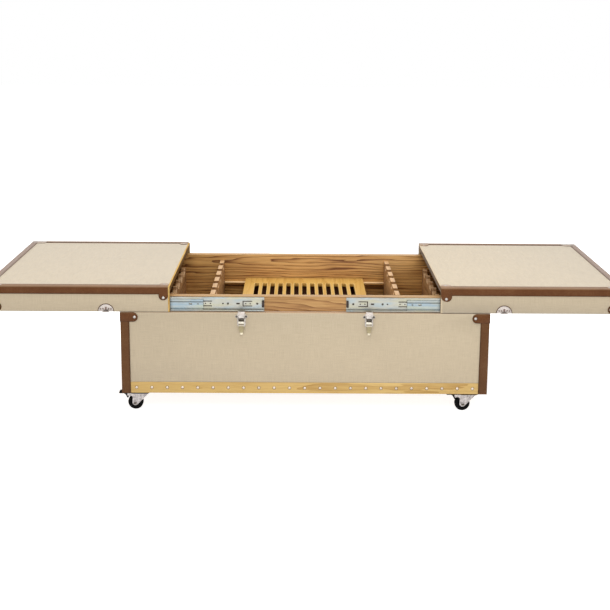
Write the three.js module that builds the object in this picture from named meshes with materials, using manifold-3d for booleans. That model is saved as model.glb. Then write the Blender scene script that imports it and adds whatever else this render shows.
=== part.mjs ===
// Ice bucket coffee table: a canvas-covered trunk on four swivel casters.
// Two half lids run outwards on telescopic slides and bare an oak-lined well:
// an ice bucket under a slatted grate in the middle and a bottle bay at each end.
// Units are millimetres, +Z is up, X is the length and the front faces -Y.
// The origin lies on the floor, in the middle of the open table's footprint.

import * as THREE from 'three';
import { mergeVertices } from 'three/addons/utils/BufferGeometryUtils.js';
import Module from 'manifold-3d';

const wasm = await Module();
wasm.setup();

// Whole table, closed
const table_length = 1200;
const table_depth = 650;
const caster_height = 66;
const trunk_height = 275;
const seam_gap = 2;
const lid_height = 84;
const lid_travel = 440;
const lid_parting = 1;

// Boards
const wall_thickness = 22;
const plinth_height = 38;
const floor_thickness = 15;
const liner_thickness = 24;
const liner_rise = 50;
const lid_board_thickness = 18;
const lipping_thickness = 5.5;

// Leather bands and riveted patches
const leather_thickness = 2;
const band_top_width = 20;
const band_side_height = 24.5;
const corner_band_width = 27;
const patch_length = 54;
const patch_height = 30;
const tab_width = 30;
const tab_drop = 20;

// Ice bucket and its grate
const batten_width = 20;
const batten_height = 8;
const batten_drop = 54;
const grate_length = 447;
const grate_thickness = 13;
const grate_end_rail = 78;
const grate_slot_count = 13;
const grate_slot_width = 17;
const grate_slot_pitch = 29.5;
const bucket_wall_gap = 9;
const bucket_height = 170;
const bucket_draft = 10;
const bucket_corner_radius = 45;
const bucket_sheet = 2;
const bucket_flange = 20;
const bucket_flange_end_gap = 4;

// Bottle bays: a scalloped divider carries the necks, a scalloped rack the bodies
const bottle_pitch = 86;
const bottle_axis_rise = 18;
const neck_scallop_radius = 17;
const neck_radius = 14.5;
const divider_thickness = 16;
const divider_offset = 304;
const divider_crest = 26;
const body_scallop_radius = 41;
const rack_offset = 452;
const rack_crest_drop = 3;

// Telescopic slides
const slide_length = 436;
const slide_height = 45.5;
const slide_thickness = 12.7;
const slide_sheet = 1.2;
const slide_inset = 134;
const slide_lift = 2.5;
const slide_ball_gap = 4.55;
const outer_reach = 10.5;
const outer_lip = 4.2;
const middle_near = 4.6;
const middle_reach = 11.2;
const middle_travel = 191;
const inner_reach = 7.5;
const inner_ball_gap = 3.8;
const running_gap = 0.3;
const ball_strip_length = 120;
const ball_strip_margin = 0.4;
const stop_length = 7;
const stop_height = 20;
const stop_reach = 7;
const slide_clearance = 1;
const tongue_places = [40, 171];
const tongue_length = 31;
const tongue_height = 19;
const tongue_stroke = 3;
const screw_hole_places = [23, 119, 135];
const screw_hole_radius = 2.6;
const screw_slot_places = [86];
const screw_slot_length = 11;
const middle_hole_places = [17];
const middle_slot_places = [42];

// Draw latches and their keepers
const latch_offset = 208;
const latch_plate_width = 27;
const latch_plate_top = 4;
const latch_plate_bottom = 52;
const latch_sheet = 1.5;
const latch_ear_radius = 4.8;
const latch_ear_offset = 15.4;
const latch_ear_drop = 14;
const latch_rivet_radius = 2.6;
const latch_rivet_height = 1.4;
const latch_pin_drop = 28;
const latch_pin_standoff = 5.2;
const latch_pin_radius = 2;
const latch_gap = 0.4;
const cheek_height = 11;
const lever_width = 18;
const lever_length = 45;
const lever_sheet = 2;
const lever_standoff = 4.5;
const lever_flare = 5;
const lever_barrel_wall = 1.1;
const lever_tip_width = 9;
const claw_pin_drop = 3;
const claw_pin_step = 6;
const claw_pin_radius = 1.2;
const claw_arm_width = 1.5;
const claw_arm_depth = 2.6;
const claw_hook_height = 10;
const claw_lip_gap = 1;
const claw_sheet = 1.2;
const keeper_width = 50;
const keeper_height = 25;
const keeper_lip_width = 20;
const keeper_lip_reach = 9.5;
const keeper_lip_height = 2.7;
const keeper_lip_sheet = 0.8;
const keeper_rivet_offset = 17;
const keeper_rivet_rise = 9;

// Swivel casters with a brake pedal
const caster_inset_x = 56;
const caster_inset_y = 31.5;
const caster_trail = 18;
const caster_plate_size = 60;
const caster_plate_radius = 7;
const caster_plate_thickness = 4;
const caster_hole_offset = 22;
const caster_hole_radius = 3;
const race_radius = 19;
const race_height = 5.5;
const wheel_diameter = 50;
const wheel_width = 18;
const wheel_edge_radius = 3;
const wheel_hub_radius = 13;
const wheel_hub_recess = 2;
const wheel_facets = 24;
const axle_radius = 3;
const axle_head_radius = 5.5;
const axle_head_height = 2.5;
const fork_sheet = 2;
const fork_gap = 1;
const fork_front_reach = 24;
const fork_horn_reach = 45;
const fork_horn_height = 8.5;
const fork_horn_radius = 4;
const fork_foot_radius = 10;
const fork_foot_taper = 1;
const fork_crown_back = 20;
const pedal_pivot_back = 39;
const pedal_pivot_height = 52;
const pedal_pin_radius = 1.6;
const pedal_barrel_radius = 3.4;
const pedal_reach = 72.5;
const pedal_pad_length = 15;
const pedal_pad_height = 5.5;
const pedal_pad_width = 22;
const pedal_head_gap = 5;
const pedal_arm_length = 6;
const pedal_shoe_back = 45;
const pedal_shoe_height = 40;
const pedal_shoe_thickness = 3.4;

// Fineness and cutting
const arc_steps = 6;
const corner_steps = 2;
const scallop_steps = 8;
const overrun = 1;

// Levels and faces that several pieces share
const trunk_bottom = caster_height;
const trunk_top = trunk_bottom + trunk_height;
const lid_bottom = trunk_top + seam_gap;
const lid_top = lid_bottom + lid_height;
const plinth_top = trunk_bottom + plinth_height;
const floor_top = trunk_bottom + floor_thickness;
const liner_top = trunk_top + liner_rise;
const half_length = table_length / 2;
const half_depth = table_depth / 2;
const liner_half_length = half_length - wall_thickness;
const liner_half_depth = half_depth - wall_thickness;
const bay_half_length = liner_half_length - liner_thickness;
const bay_half_depth = liner_half_depth - liner_thickness;
const bottle_count = Math.floor((bay_half_depth * 2) / bottle_pitch);
const grate_depth = (bay_half_depth - bucket_flange_end_gap) * 2;
const bucket_length = grate_length - bucket_flange * 2;
const bucket_depth = (bay_half_depth - batten_width - bucket_wall_gap) * 2;
const skirt_inner = liner_half_depth + slide_thickness;
const skirt_thickness = half_depth - skirt_inner;
const lid_inner_end = lid_travel + lid_parting / 2;
const lid_shell_end = lid_inner_end + lipping_thickness;
const lid_outer_end = lid_travel + half_length;
const batten_top = lid_bottom - batten_drop - bucket_sheet;
const grate_bottom = batten_top + bucket_sheet;

// Materials
const material = (color, roughness, metalness = 0) =>
  new THREE.MeshStandardMaterial({ color, roughness, metalness });
const canvas = material(0xcfbea4, 0.9);
const leather = material(0x6b462f, 0.6);
const oak = material(0xb8864e, 0.55);
const pine = material(0xd7b270, 0.6);
const plywood = material(0xc9a06a, 0.7);
const zinc = material(0xc4cac8, 0.35, 0.9);
const nickel = material(0xd2cfc8, 0.25, 0.9);
const steel = material(0x9a9c9d, 0.35, 0.9);
const tyre_rubber = material(0x151515, 0.7);
const pedal_plastic = material(0x1c1c1c, 0.5);
const black_paint = material(0x2a2420, 0.6);

// Turns every face of a geometry to the other side.
function flip(geometry) {
  const corner = geometry.attributes.position;
  const a = new THREE.Vector3();
  const b = new THREE.Vector3();
  for (let i = 0; i < corner.count; i += 3) {
    a.fromBufferAttribute(corner, i + 1);
    b.fromBufferAttribute(corner, i + 2);
    corner.setXYZ(i + 1, b.x, b.y, b.z);
    corner.setXYZ(i + 2, a.x, a.y, a.z);
  }
  return geometry;
}

// Only the corners of a geometry, three for each face.
function bare(geometry) {
  const plain = geometry.index ? geometry.toNonIndexed() : geometry.clone();
  plain.deleteAttribute('normal');
  plain.deleteAttribute('uv');
  return plain;
}

// The mirror image across the plane that is square to one axis.
function mirrored(geometry, axis) {
  const copy = bare(geometry);
  copy.scale(axis === 'x' ? -1 : 1, axis === 'y' ? -1 : 1, 1);
  return flip(copy);
}

// A box between exact faces, so that pieces which meet share the same numbers.
function block(x_span, y_span, z_span) {
  const geometry = new THREE.BoxGeometry(1, 1, 1);
  const corner = geometry.attributes.position;
  const pick = (value, span) => (value < 0 ? Math.min(...span) : Math.max(...span));
  for (let i = 0; i < corner.count; i += 1) {
    const x = pick(corner.getX(i), x_span);
    const y = pick(corner.getY(i), y_span);
    const z = pick(corner.getZ(i), z_span);
    corner.setXYZ(i, x, y, z);
  }
  return bare(geometry);
}

// An outline swept between two exact faces. Its own axes are Y and Z when it is
// swept along x, X and Z along y, and X and Y along z.
function prism(outline, axis, from, to, steps = arc_steps) {
  const settings = { depth: 1, bevelEnabled: false, curveSegments: steps };
  const geometry = bare(new THREE.ExtrudeGeometry(outline, settings));
  const corner = geometry.attributes.position;
  for (let i = 0; i < corner.count; i += 1) {
    const u = corner.getX(i);
    const v = corner.getY(i);
    const w = corner.getZ(i) > 0 ? Math.max(from, to) : Math.min(from, to);
    if (axis === 'x') corner.setXYZ(i, w, u, v);
    if (axis === 'y') corner.setXYZ(i, u, w, v);
    if (axis === 'z') corner.setXYZ(i, u, v, w);
  }
  return axis === 'y' ? flip(geometry) : geometry;
}

function polygon(points) {
  return new THREE.Shape(points.map(([u, v]) => new THREE.Vector2(u, v)));
}

function disc(u, v, radius) {
  const shape = new THREE.Shape();
  shape.absarc(u, v, radius, 0, Math.PI * 2);
  return shape;
}

function roundedRectangle(half_width, half_height, radius) {
  const shape = new THREE.Shape();
  const u = half_width - radius;
  const v = half_height - radius;
  shape.absarc(u, v, radius, 0, Math.PI / 2);
  shape.absarc(-u, v, radius, Math.PI / 2, Math.PI);
  shape.absarc(-u, -v, radius, Math.PI, Math.PI * 1.5);
  shape.absarc(u, -v, radius, Math.PI * 1.5, Math.PI * 2);
  return shape;
}

// A strip from base to tip along the first axis, with a round end at the tip.
function tabAcross(base, tip, low, high) {
  const radius = (high - low) / 2;
  const way = Math.sign(tip - base);
  const centre = tip - way * radius;
  const shape = new THREE.Shape();
  shape.moveTo(base, low);
  shape.lineTo(centre, low);
  shape.absarc(centre, low + radius, radius, -Math.PI / 2, Math.PI / 2, way < 0);
  shape.lineTo(base, high);
  return shape;
}

// The same strip along the second axis.
function tabUpright(base, tip, low, high) {
  const radius = (high - low) / 2;
  const way = Math.sign(tip - base);
  const centre = tip - way * radius;
  const shape = new THREE.Shape();
  shape.moveTo(low, base);
  shape.lineTo(low, centre);
  shape.absarc(low + radius, centre, radius, Math.PI, 0, way > 0);
  shape.lineTo(high, base);
  return shape;
}

// The corners of each face, without the faces that a revolve folds flat on its axis.
function facesOf(merged) {
  const faces = [];
  const index = merged.index.array;
  for (let i = 0; i < index.length; i += 3) {
    const [a, b, c] = [index[i], index[i + 1], index[i + 2]];
    if (a !== b && b !== c && c !== a) faces.push(a, b, c);
  }
  return Uint32Array.from(faces);
}

function solid(geometry) {
  const merged = mergeVertices(bare(geometry));
  const mesh = new wasm.Mesh({
    numProp: 3,
    vertProperties: merged.attributes.position.array,
    triVerts: facesOf(merged),
  });
  return new wasm.Manifold(mesh);
}

function geometryOf(manifold) {
  const mesh = manifold.getMesh();
  const geometry = new THREE.BufferGeometry();
  geometry.setAttribute('position', new THREE.BufferAttribute(mesh.vertProperties, 3));
  geometry.setIndex(new THREE.BufferAttribute(mesh.triVerts, 1));
  return geometry.toNonIndexed();
}

function fuse(first, ...others) {
  return geometryOf(others.reduce((sum, next) => sum.add(solid(next)), solid(first)));
}

function cut(body, ...tools) {
  return geometryOf(tools.reduce((rest, tool) => rest.subtract(solid(tool)), solid(body)));
}

// Places spread evenly about zero.
function spread(count, pitch) {
  return Array.from({ length: count }, (_, i) => (i - (count - 1) / 2) * pitch);
}

const table = new THREE.Group();

function add(name, geometry, finish, parent = table) {
  geometry.computeVertexNormals();
  const mesh = new THREE.Mesh(geometry, finish);
  mesh.name = name;
  parent.add(mesh);
}

// A low dome, such as a rivet's head, on a face square to Y.
function dome(x, z, face, radius, height) {
  const profile = [
    new THREE.Vector2(0, 0),
    new THREE.Vector2(radius, 0),
    new THREE.Vector2(radius * Math.SQRT1_2, height * Math.SQRT1_2),
    new THREE.Vector2(0, height),
  ];
  const head = bare(new THREE.LatheGeometry(profile, arc_steps));
  head.rotateX(Math.PI);
  head.translate(x, face, z);
  return head;
}

// Trunk: plinth frame, floor, canvas-covered walls and leather corners
function trunk() {
  const whole = [[-half_length, half_length], [-half_depth, half_depth]];
  const hollow = [[-liner_half_length, liner_half_length], [-liner_half_depth, liner_half_depth]];
  const through = [trunk_bottom - overrun, trunk_top + overrun];
  add('plinth_frame', cut(block(...whole, [trunk_bottom, plinth_top]), block(...hollow, through)), pine);
  add('trunk_floor', block(...hollow, [trunk_bottom, floor_top]), plywood);
  add('trunk_walls', cut(block(...whole, [plinth_top, trunk_top]), block(...hollow, through)), canvas);
}

// One leather corner of the trunk, on the right at the front.
function cornerLeather() {
  const outer_x = half_length + leather_thickness;
  const outer_y = -half_depth - leather_thickness;
  const band_x = half_length - corner_band_width;
  const band_y = -half_depth + corner_band_width;
  const height = [trunk_bottom, trunk_top];
  const patch_low = trunk_top - patch_height;
  const front_tab = tabAcross(band_x, half_length - patch_length, patch_low, trunk_top);
  const side_tab = tabAcross(band_y, -half_depth + patch_length, patch_low, trunk_top);
  return fuse(
    block([band_x, outer_x], [-half_depth, outer_y], height),
    block([half_length, outer_x], [outer_y, band_y], height),
    prism(front_tab, 'y', -half_depth, outer_y),
    prism(side_tab, 'x', half_length, outer_x),
  );
}

// Oak liner: four boards that stand on the floor and rise above the walls
function linerFront() {
  const board = block(
    [-liner_half_length, liner_half_length],
    [-liner_half_depth, -bay_half_depth],
    [floor_top, liner_top],
  );
  const batten = block(
    [-divider_offset, divider_offset],
    [-bay_half_depth, -bay_half_depth + batten_width],
    [batten_top - batten_height, batten_top],
  );
  return fuse(board, batten);
}

function linerEnd() {
  return block(
    [bay_half_length, liner_half_length],
    [-bay_half_depth, bay_half_depth],
    [floor_top, liner_top],
  );
}

// A board across the well whose top edge has one scallop for each bottle
function scallopedBoard(span, crest, radius, trough) {
  const centre = trough + radius;
  const reach = Math.sqrt(radius ** 2 - (centre - crest) ** 2);
  const start = Math.atan2(crest - centre, -reach);
  const end = Math.atan2(crest - centre, reach);
  const outline = new THREE.Shape();
  outline.moveTo(bay_half_depth, floor_top);
  outline.lineTo(bay_half_depth, crest);
  for (const y of spread(bottle_count, bottle_pitch).reverse()) {
    outline.lineTo(y + reach, crest);
    outline.absarc(y, centre, radius, end, start, true);
  }
  outline.lineTo(-bay_half_depth, crest);
  outline.lineTo(-bay_half_depth, floor_top);
  return prism(outline, 'x', ...span, scallop_steps);
}

function divider() {
  const axis = lid_bottom + bottle_axis_rise;
  const span = [divider_offset, divider_offset + divider_thickness];
  return scallopedBoard(span, lid_bottom + divider_crest, neck_scallop_radius, axis - neck_radius);
}

function bottleRack() {
  const axis = lid_bottom + bottle_axis_rise;
  const span = [rack_offset, rack_offset + divider_thickness];
  return scallopedBoard(span, lid_bottom - rack_crest_drop, body_scallop_radius, axis - body_scallop_radius);
}

// Slatted grate: one frame with a row of slots, which lies on the bucket's flange
function grate() {
  const height = [grate_bottom, grate_bottom + grate_thickness];
  const half_x = grate_length / 2;
  const half_y = grate_depth / 2;
  const slot_y = half_y - grate_end_rail;
  const slots = spread(grate_slot_count, grate_slot_pitch).map((x) => block(
    [x - grate_slot_width / 2, x + grate_slot_width / 2],
    [-slot_y, slot_y],
    [grate_bottom - overrun, grate_bottom + grate_thickness + overrun],
  ));
  return cut(block([-half_x, half_x], [-half_y, half_y], height), ...slots);
}

// A closed skin through a row of outlines with equal numbers of points.
function loft(rings) {
  const count = rings[0].points.length;
  const corner = [];
  const push = (...points) => points.forEach(([p, z]) => corner.push(p.x, p.y, z));
  for (let r = 0; r + 1 < rings.length; r += 1) {
    const [low, high] = [rings[r], rings[r + 1]];
    for (let i = 0; i < count; i += 1) {
      const j = (i + 1) % count;
      push([low.points[i], low.z], [low.points[j], low.z], [high.points[j], high.z]);
      push([low.points[i], low.z], [high.points[j], high.z], [high.points[i], high.z]);
    }
  }
  const ends = [[rings[0], false], [rings[rings.length - 1], true]];
  for (const [end, faces_up] of ends) {
    for (const [a, b, c] of THREE.ShapeUtils.triangulateShape(end.points, [])) {
      const [p, q, s] = faces_up ? [a, b, c] : [a, c, b];
      push([end.points[p], end.z], [end.points[q], end.z], [end.points[s], end.z]);
    }
  }
  const geometry = new THREE.BufferGeometry();
  geometry.setAttribute('position', new THREE.Float32BufferAttribute(corner, 3));
  return geometry;
}

// Ice bucket: a drafted tub with round corners, hung by its flange
function iceBucket() {
  const rim = batten_top + bucket_sheet;
  const bottom = rim - bucket_height;
  const ringAt = (margin_x, margin_y, z) => {
    const half_x = bucket_length / 2 + margin_x;
    const half_y = bucket_depth / 2 + margin_y;
    const radius = bucket_corner_radius + Math.min(margin_x, margin_y);
    const points = roundedRectangle(half_x, half_y, radius).getPoints(arc_steps / 2);
    return { points: points.slice(0, -1), z };
  };
  const flange_y = (grate_depth - bucket_depth) / 2;
  return loft([
    ringAt(-bucket_draft, -bucket_draft, bottom),
    ringAt(0, 0, batten_top),
    ringAt(bucket_flange, flange_y, batten_top),
    ringAt(bucket_flange, flange_y, rim),
    ringAt(-bucket_sheet, -bucket_sheet, rim),
    ringAt(-bucket_draft - bucket_sheet, -bucket_draft - bucket_sheet, bottom + bucket_sheet),
  ]);
}

// Lid, drawn on the right where it stands open
const lid_hollow_top = lid_top - lid_board_thickness;

function lidHollow(from, to) {
  return block([from, to], [-skirt_inner, skirt_inner], [lid_bottom - overrun, lid_hollow_top]);
}

function lidShell() {
  return cut(
    block([lid_shell_end, lid_outer_end], [-half_depth, half_depth], [lid_bottom, lid_top]),
    lidHollow(lid_shell_end - overrun, lid_outer_end - skirt_thickness),
  );
}

function lidLipping() {
  return cut(
    block([lid_inner_end, lid_shell_end], [-half_depth, half_depth], [lid_bottom, lid_top]),
    lidHollow(lid_inner_end - overrun, lid_shell_end + overrun),
  );
}

// Leather round the lid's three outer edges, with tabs at its corners
function lidLeather() {
  const top = lid_top + leather_thickness;
  const outer_x = lid_outer_end + leather_thickness;
  const outer_y = half_depth + leather_thickness;
  const band_bottom = lid_top - band_side_height;
  const window_x = lid_outer_end - band_top_width;
  const window_y = half_depth - band_top_width;
  const start = lid_shell_end - overrun;
  const body = block([start, lid_outer_end], [-half_depth, half_depth], [lid_bottom - overrun, lid_top]);
  const window = block([start, window_x], [-window_y, window_y], [lid_top - overrun, top + overrun]);
  const band = cut(
    block([lid_shell_end, outer_x], [-outer_y, outer_y], [band_bottom, top]),
    body,
    window,
  );
  const tab = [lid_shell_end, lid_shell_end + tab_width];
  const patch_top = lid_bottom + patch_height;
  const strip_x = lid_outer_end - corner_band_width;
  const strip_y = half_depth - corner_band_width;
  const front = [
    prism(tabUpright(band_bottom, band_bottom - tab_drop, ...tab), 'y', -half_depth, -outer_y),
    prism(tabUpright(-window_y, -window_y + tab_drop, ...tab), 'z', lid_top, top),
    block([strip_x, outer_x], [-outer_y, -half_depth], [lid_bottom, band_bottom]),
    block([lid_outer_end, outer_x], [-outer_y, -strip_y], [lid_bottom, band_bottom]),
    prism(tabAcross(strip_x, lid_outer_end - patch_length, lid_bottom, patch_top), 'y', -half_depth, -outer_y),
    prism(tabAcross(-strip_y, -half_depth + patch_length, lid_bottom, patch_top), 'x', lid_outer_end, outer_x),
  ];
  return fuse(band, ...front, ...front.map((piece) => mirrored(piece, 'y')));
}

// Telescopic slides: three nested channels. Each outline is drawn by its
// distance from the liner and its height from the slide's middle.
const slide_middle = lid_bottom + slide_lift - seam_gap + slide_height / 2;
const middle_half = slide_height / 2 - slide_sheet - slide_ball_gap;
const inner_half = middle_half - inner_ball_gap;

function channel(near, far, half, lip, from, to) {
  const sheet = Math.sign(far - near) * slide_sheet;
  const edge = half - slide_sheet;
  const upper = [[near + sheet, edge]];
  if (lip > 0) upper.push([far - sheet, edge], [far - sheet, half - lip], [far, half - lip]);
  else upper.push([far, edge]);
  upper.push([far, half], [near, half]);
  const lower = upper.map(([u, v]) => [u, -v]).reverse();
  const points = [...upper, ...lower];
  const placed = points.map(([u, v]) => [-liner_half_depth - u, slide_middle + v]);
  return prism(polygon(placed), 'x', from, to);
}

// A hole through the web of a channel, at a distance from its inner end.
function webHole(x, near) {
  const face = -liner_half_depth - near;
  return prism(disc(x, slide_middle, screw_hole_radius), 'y', face + overrun, face - slide_sheet - overrun);
}

function webSlot(x, near) {
  const face = -liner_half_depth - near;
  const outline = roundedRectangle(screw_slot_length / 2, screw_hole_radius, screw_hole_radius - slide_sheet);
  const slot = prism(outline, 'y', face + overrun, face - slide_sheet - overrun, corner_steps);
  slot.translate(x, 0, slide_middle);
  return slot;
}

// The cut round a stamped tongue that stays joined at its inner end.
function tongueCut(place) {
  const inner = slide_inset + place;
  const outer = inner + tongue_length;
  const face = -liner_half_depth;
  const depth = [face + overrun, face - slide_sheet - overrun];
  const half = tongue_height / 2;
  const above = [slide_middle + half - tongue_stroke, slide_middle + half];
  const below = [slide_middle - half, slide_middle - half + tongue_stroke];
  return fuse(
    block([outer - tongue_stroke, outer], depth, [below[0], above[1]]),
    block([inner, outer], depth, above),
    block([inner, outer], depth, below),
  );
}

function slideOuter() {
  const rail = channel(0, outer_reach, slide_height / 2, outer_lip, slide_inset, slide_inset + slide_length);
  const web = -liner_half_depth - slide_sheet;
  const stop = block(
    [slide_inset, slide_inset + stop_length],
    [web, web - stop_reach + slide_sheet],
    [slide_middle - stop_height / 2, slide_middle + stop_height / 2],
  );
  const holes = [
    ...screw_hole_places.map((place) => webHole(slide_inset + place, 0)),
    ...screw_slot_places.map((place) => webSlot(slide_inset + place, 0)),
    ...tongue_places.map(tongueCut),
  ];
  return fuse(cut(rail, ...holes), stop);
}

// The upper and lower strips of balls that carry one channel inside the next.
function ballStrips(start, near, far, from, to) {
  const depth = [near + ball_strip_margin, far - ball_strip_margin].map((u) => -liner_half_depth - u);
  return [1, -1].map((way) => block(
    [start, start + ball_strip_length],
    depth,
    [slide_middle + way * (from - running_gap), slide_middle + way * to],
  ));
}

const middle_start = slide_inset + stop_length + slide_clearance + middle_travel;
const inner_start = slide_inset + stop_length + slide_clearance + lid_travel;

function slideMiddle() {
  const rail = channel(middle_near, middle_reach, middle_half, 0, middle_start, middle_start + slide_length);
  const pierced = cut(
    rail,
    ...middle_hole_places.map((place) => webHole(middle_start + place, middle_near)),
    ...middle_slot_places.map((place) => webSlot(middle_start + place, middle_near)),
  );
  const race = slide_height / 2 - slide_sheet - running_gap;
  return fuse(pierced, ...ballStrips(middle_start, middle_near, outer_reach - slide_sheet, middle_half, race));
}

function slideInner() {
  const rail = channel(slide_thickness, inner_reach, inner_half, 0, inner_start, inner_start + slide_length);
  const race = middle_half - slide_sheet - running_gap;
  return fuse(rail, ...ballStrips(inner_start, inner_reach, middle_reach, inner_half, race));
}

// Draw latch, drawn about its own middle on the trunk's front
const latch_face = -half_depth;
const latch_plate_face = latch_face - latch_sheet;
const latch_pin_y = latch_face - latch_pin_standoff;
const latch_pin_z = lid_bottom - latch_pin_drop;
const claw_pin_y = latch_pin_y - claw_pin_step;
const claw_front = claw_pin_y - claw_arm_depth / 2;
const lip_face = latch_face - keeper_lip_reach;
const claw_pin_z = latch_pin_z - claw_pin_drop;
const claw_inner_x = lever_width / 2 + latch_gap;
const claw_outer_x = claw_inner_x + claw_arm_width;
const cheek_inner_x = claw_outer_x + latch_gap;
const cheek_outer_x = cheek_inner_x + latch_sheet;

function latchBase() {
  const z_top = lid_bottom - latch_plate_top;
  const z_bottom = lid_bottom - latch_plate_bottom;
  const ear_z = lid_bottom - latch_ear_drop;
  const half = latch_plate_width / 2;
  const plate = prism(tabUpright(z_top, z_bottom, -half, half), 'y', latch_face, latch_plate_face);
  const ears = [-latch_ear_offset, latch_ear_offset].map(
    (x) => prism(disc(x, ear_z, latch_ear_radius), 'y', latch_face, latch_plate_face),
  );
  const rivets = [-latch_ear_offset, latch_ear_offset].map(
    (x) => dome(x, ear_z, latch_plate_face, latch_rivet_radius, latch_rivet_height),
  );
  const low = latch_pin_z - cheek_height / 2;
  const tip = latch_pin_y - latch_pin_radius - latch_gap;
  const cheek = tabAcross(latch_plate_face, tip, low, low + cheek_height);
  const cheeks = [-1, 1].map(
    (way) => prism(cheek, 'x', way * cheek_inner_x, way * cheek_outer_x),
  );
  const pin = prism(disc(latch_pin_y, latch_pin_z, latch_pin_radius), 'x', -cheek_outer_x, cheek_outer_x);
  return fuse(plate, ...ears, ...rivets, ...cheeks, pin);
}

function latchLever() {
  const bore = latch_pin_radius + latch_gap;
  const barrel_radius = bore + lever_barrel_wall;
  const tip_z = latch_pin_z - lever_length;
  const half = lever_sheet / 2;
  const lower_y = latch_face - lever_standoff;
  const tip_y = lower_y - lever_flare;
  const bend_z = tip_z + lever_flare;
  const arm = polygon([
    [latch_pin_y - bore, latch_pin_z + half],
    [claw_pin_y - half, claw_pin_z + half],
    [claw_pin_y - half, claw_pin_z - lever_sheet],
    [lower_y - half, bend_z],
    [tip_y, tip_z],
    [tip_y + lever_sheet, tip_z],
    [lower_y + half, bend_z + lever_sheet],
    [claw_pin_y + half, claw_pin_z - lever_sheet],
    [latch_pin_y - bore, latch_pin_z - half],
  ]);
  const half_width = lever_width / 2;
  const lever = fuse(
    prism(disc(latch_pin_y, latch_pin_z, barrel_radius), 'x', -half_width, half_width),
    prism(arm, 'x', -half_width, half_width),
    prism(disc(claw_pin_y, claw_pin_z, claw_pin_radius), 'x', -claw_outer_x, claw_outer_x),
  );
  const waist_z = claw_pin_z - cheek_height;
  const trim = [-1, 1].map((way) => prism(polygon([
    [way * half_width, waist_z],
    [way * lever_tip_width / 2, tip_z - overrun],
    [way * (half_width + overrun), tip_z - overrun],
    [way * (half_width + overrun), waist_z],
  ]), 'y', latch_plate_face, tip_y - overrun));
  const hole = prism(disc(latch_pin_y, latch_pin_z, bore), 'x', -half_width - overrun, half_width + overrun);
  return cut(lever, hole, ...trim);
}

function latchClaw() {
  const front = claw_front;
  const back = claw_pin_y + claw_arm_depth / 2;
  const lip_top = lid_bottom + keeper_lip_sheet + keeper_lip_height + latch_gap;
  const hook_top = lip_top + claw_sheet;
  const hook_low = hook_top - claw_hook_height;
  const lip_low = lid_bottom + latch_gap + keeper_lip_sheet * 2;
  const arm = tabUpright(hook_low + overrun, claw_pin_z - claw_arm_depth / 2, front, back);
  const arms = [-1, 1].map((way) => prism(arm, 'x', way * claw_inner_x, way * claw_outer_x));
  const leg_front = lip_face + keeper_lip_sheet + claw_lip_gap;
  const leg_back = leg_front + claw_sheet;
  const hook = polygon([
    [front, hook_low],
    [front, hook_top],
    [leg_back, hook_top],
    [leg_back, lip_low],
    [leg_front, lip_low],
    [leg_front, lip_top],
    [front + claw_sheet, lip_top],
    [front + claw_sheet, hook_low],
  ]);
  const holes = [-1, 1].map((way) => prism(
    disc(claw_pin_y, claw_pin_z, claw_pin_radius + latch_gap / 2),
    'x',
    way * (claw_inner_x - overrun),
    way * (claw_outer_x + overrun),
  ));
  return cut(fuse(prism(hook, 'x', -claw_outer_x, claw_outer_x), ...arms), ...holes);
}

// Keeper: a half-round plate on the lid's skirt with an upturned lip for the claw
function keeper() {
  const low = lid_bottom + keeper_lip_sheet / 2;
  const plate_outline = new THREE.Shape();
  plate_outline.absellipse(0, low, keeper_width / 2, keeper_height, 0, Math.PI);
  const face = latch_face - latch_sheet;
  const lip = polygon([
    [latch_face, low],
    [lip_face, low],
    [lip_face, lid_bottom + keeper_lip_sheet + keeper_lip_height],
    [lip_face + keeper_lip_sheet, lid_bottom + keeper_lip_sheet + keeper_lip_height],
    [lip_face + keeper_lip_sheet, low + keeper_lip_sheet],
    [latch_face, low + keeper_lip_sheet],
  ]);
  const rivets = [-keeper_rivet_offset, keeper_rivet_offset].map(
    (x) => dome(x, low + keeper_rivet_rise, face, latch_rivet_radius, latch_rivet_height),
  );
  return fuse(
    prism(plate_outline, 'y', latch_face, face),
    prism(lip, 'x', -keeper_lip_width / 2, keeper_lip_width / 2),
    ...rivets,
  );
}

// Caster, drawn about its swivel axis with the floor at zero
const wheel_radius = wheel_diameter / 2;
const plate_bottom = caster_height - caster_plate_thickness;
const race_top = plate_bottom - running_gap;
const race_bottom = race_top - race_height;
const crown_bottom = race_bottom - fork_sheet;
const cheek_near = wheel_width / 2 + fork_gap;
const cheek_far = cheek_near + fork_sheet;

function casterPlate() {
  const half = caster_plate_size / 2;
  const plate = prism(
    roundedRectangle(half, half, caster_plate_radius),
    'z',
    plate_bottom,
    caster_height,
    corner_steps,
  );
  const holes = [];
  for (const x of [-caster_hole_offset, caster_hole_offset]) {
    for (const y of [-caster_hole_offset, caster_hole_offset]) {
      const hole = disc(x, y, caster_hole_radius);
      holes.push(prism(hole, 'z', plate_bottom - overrun, caster_height + overrun));
    }
  }
  return cut(plate, ...holes);
}

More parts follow.
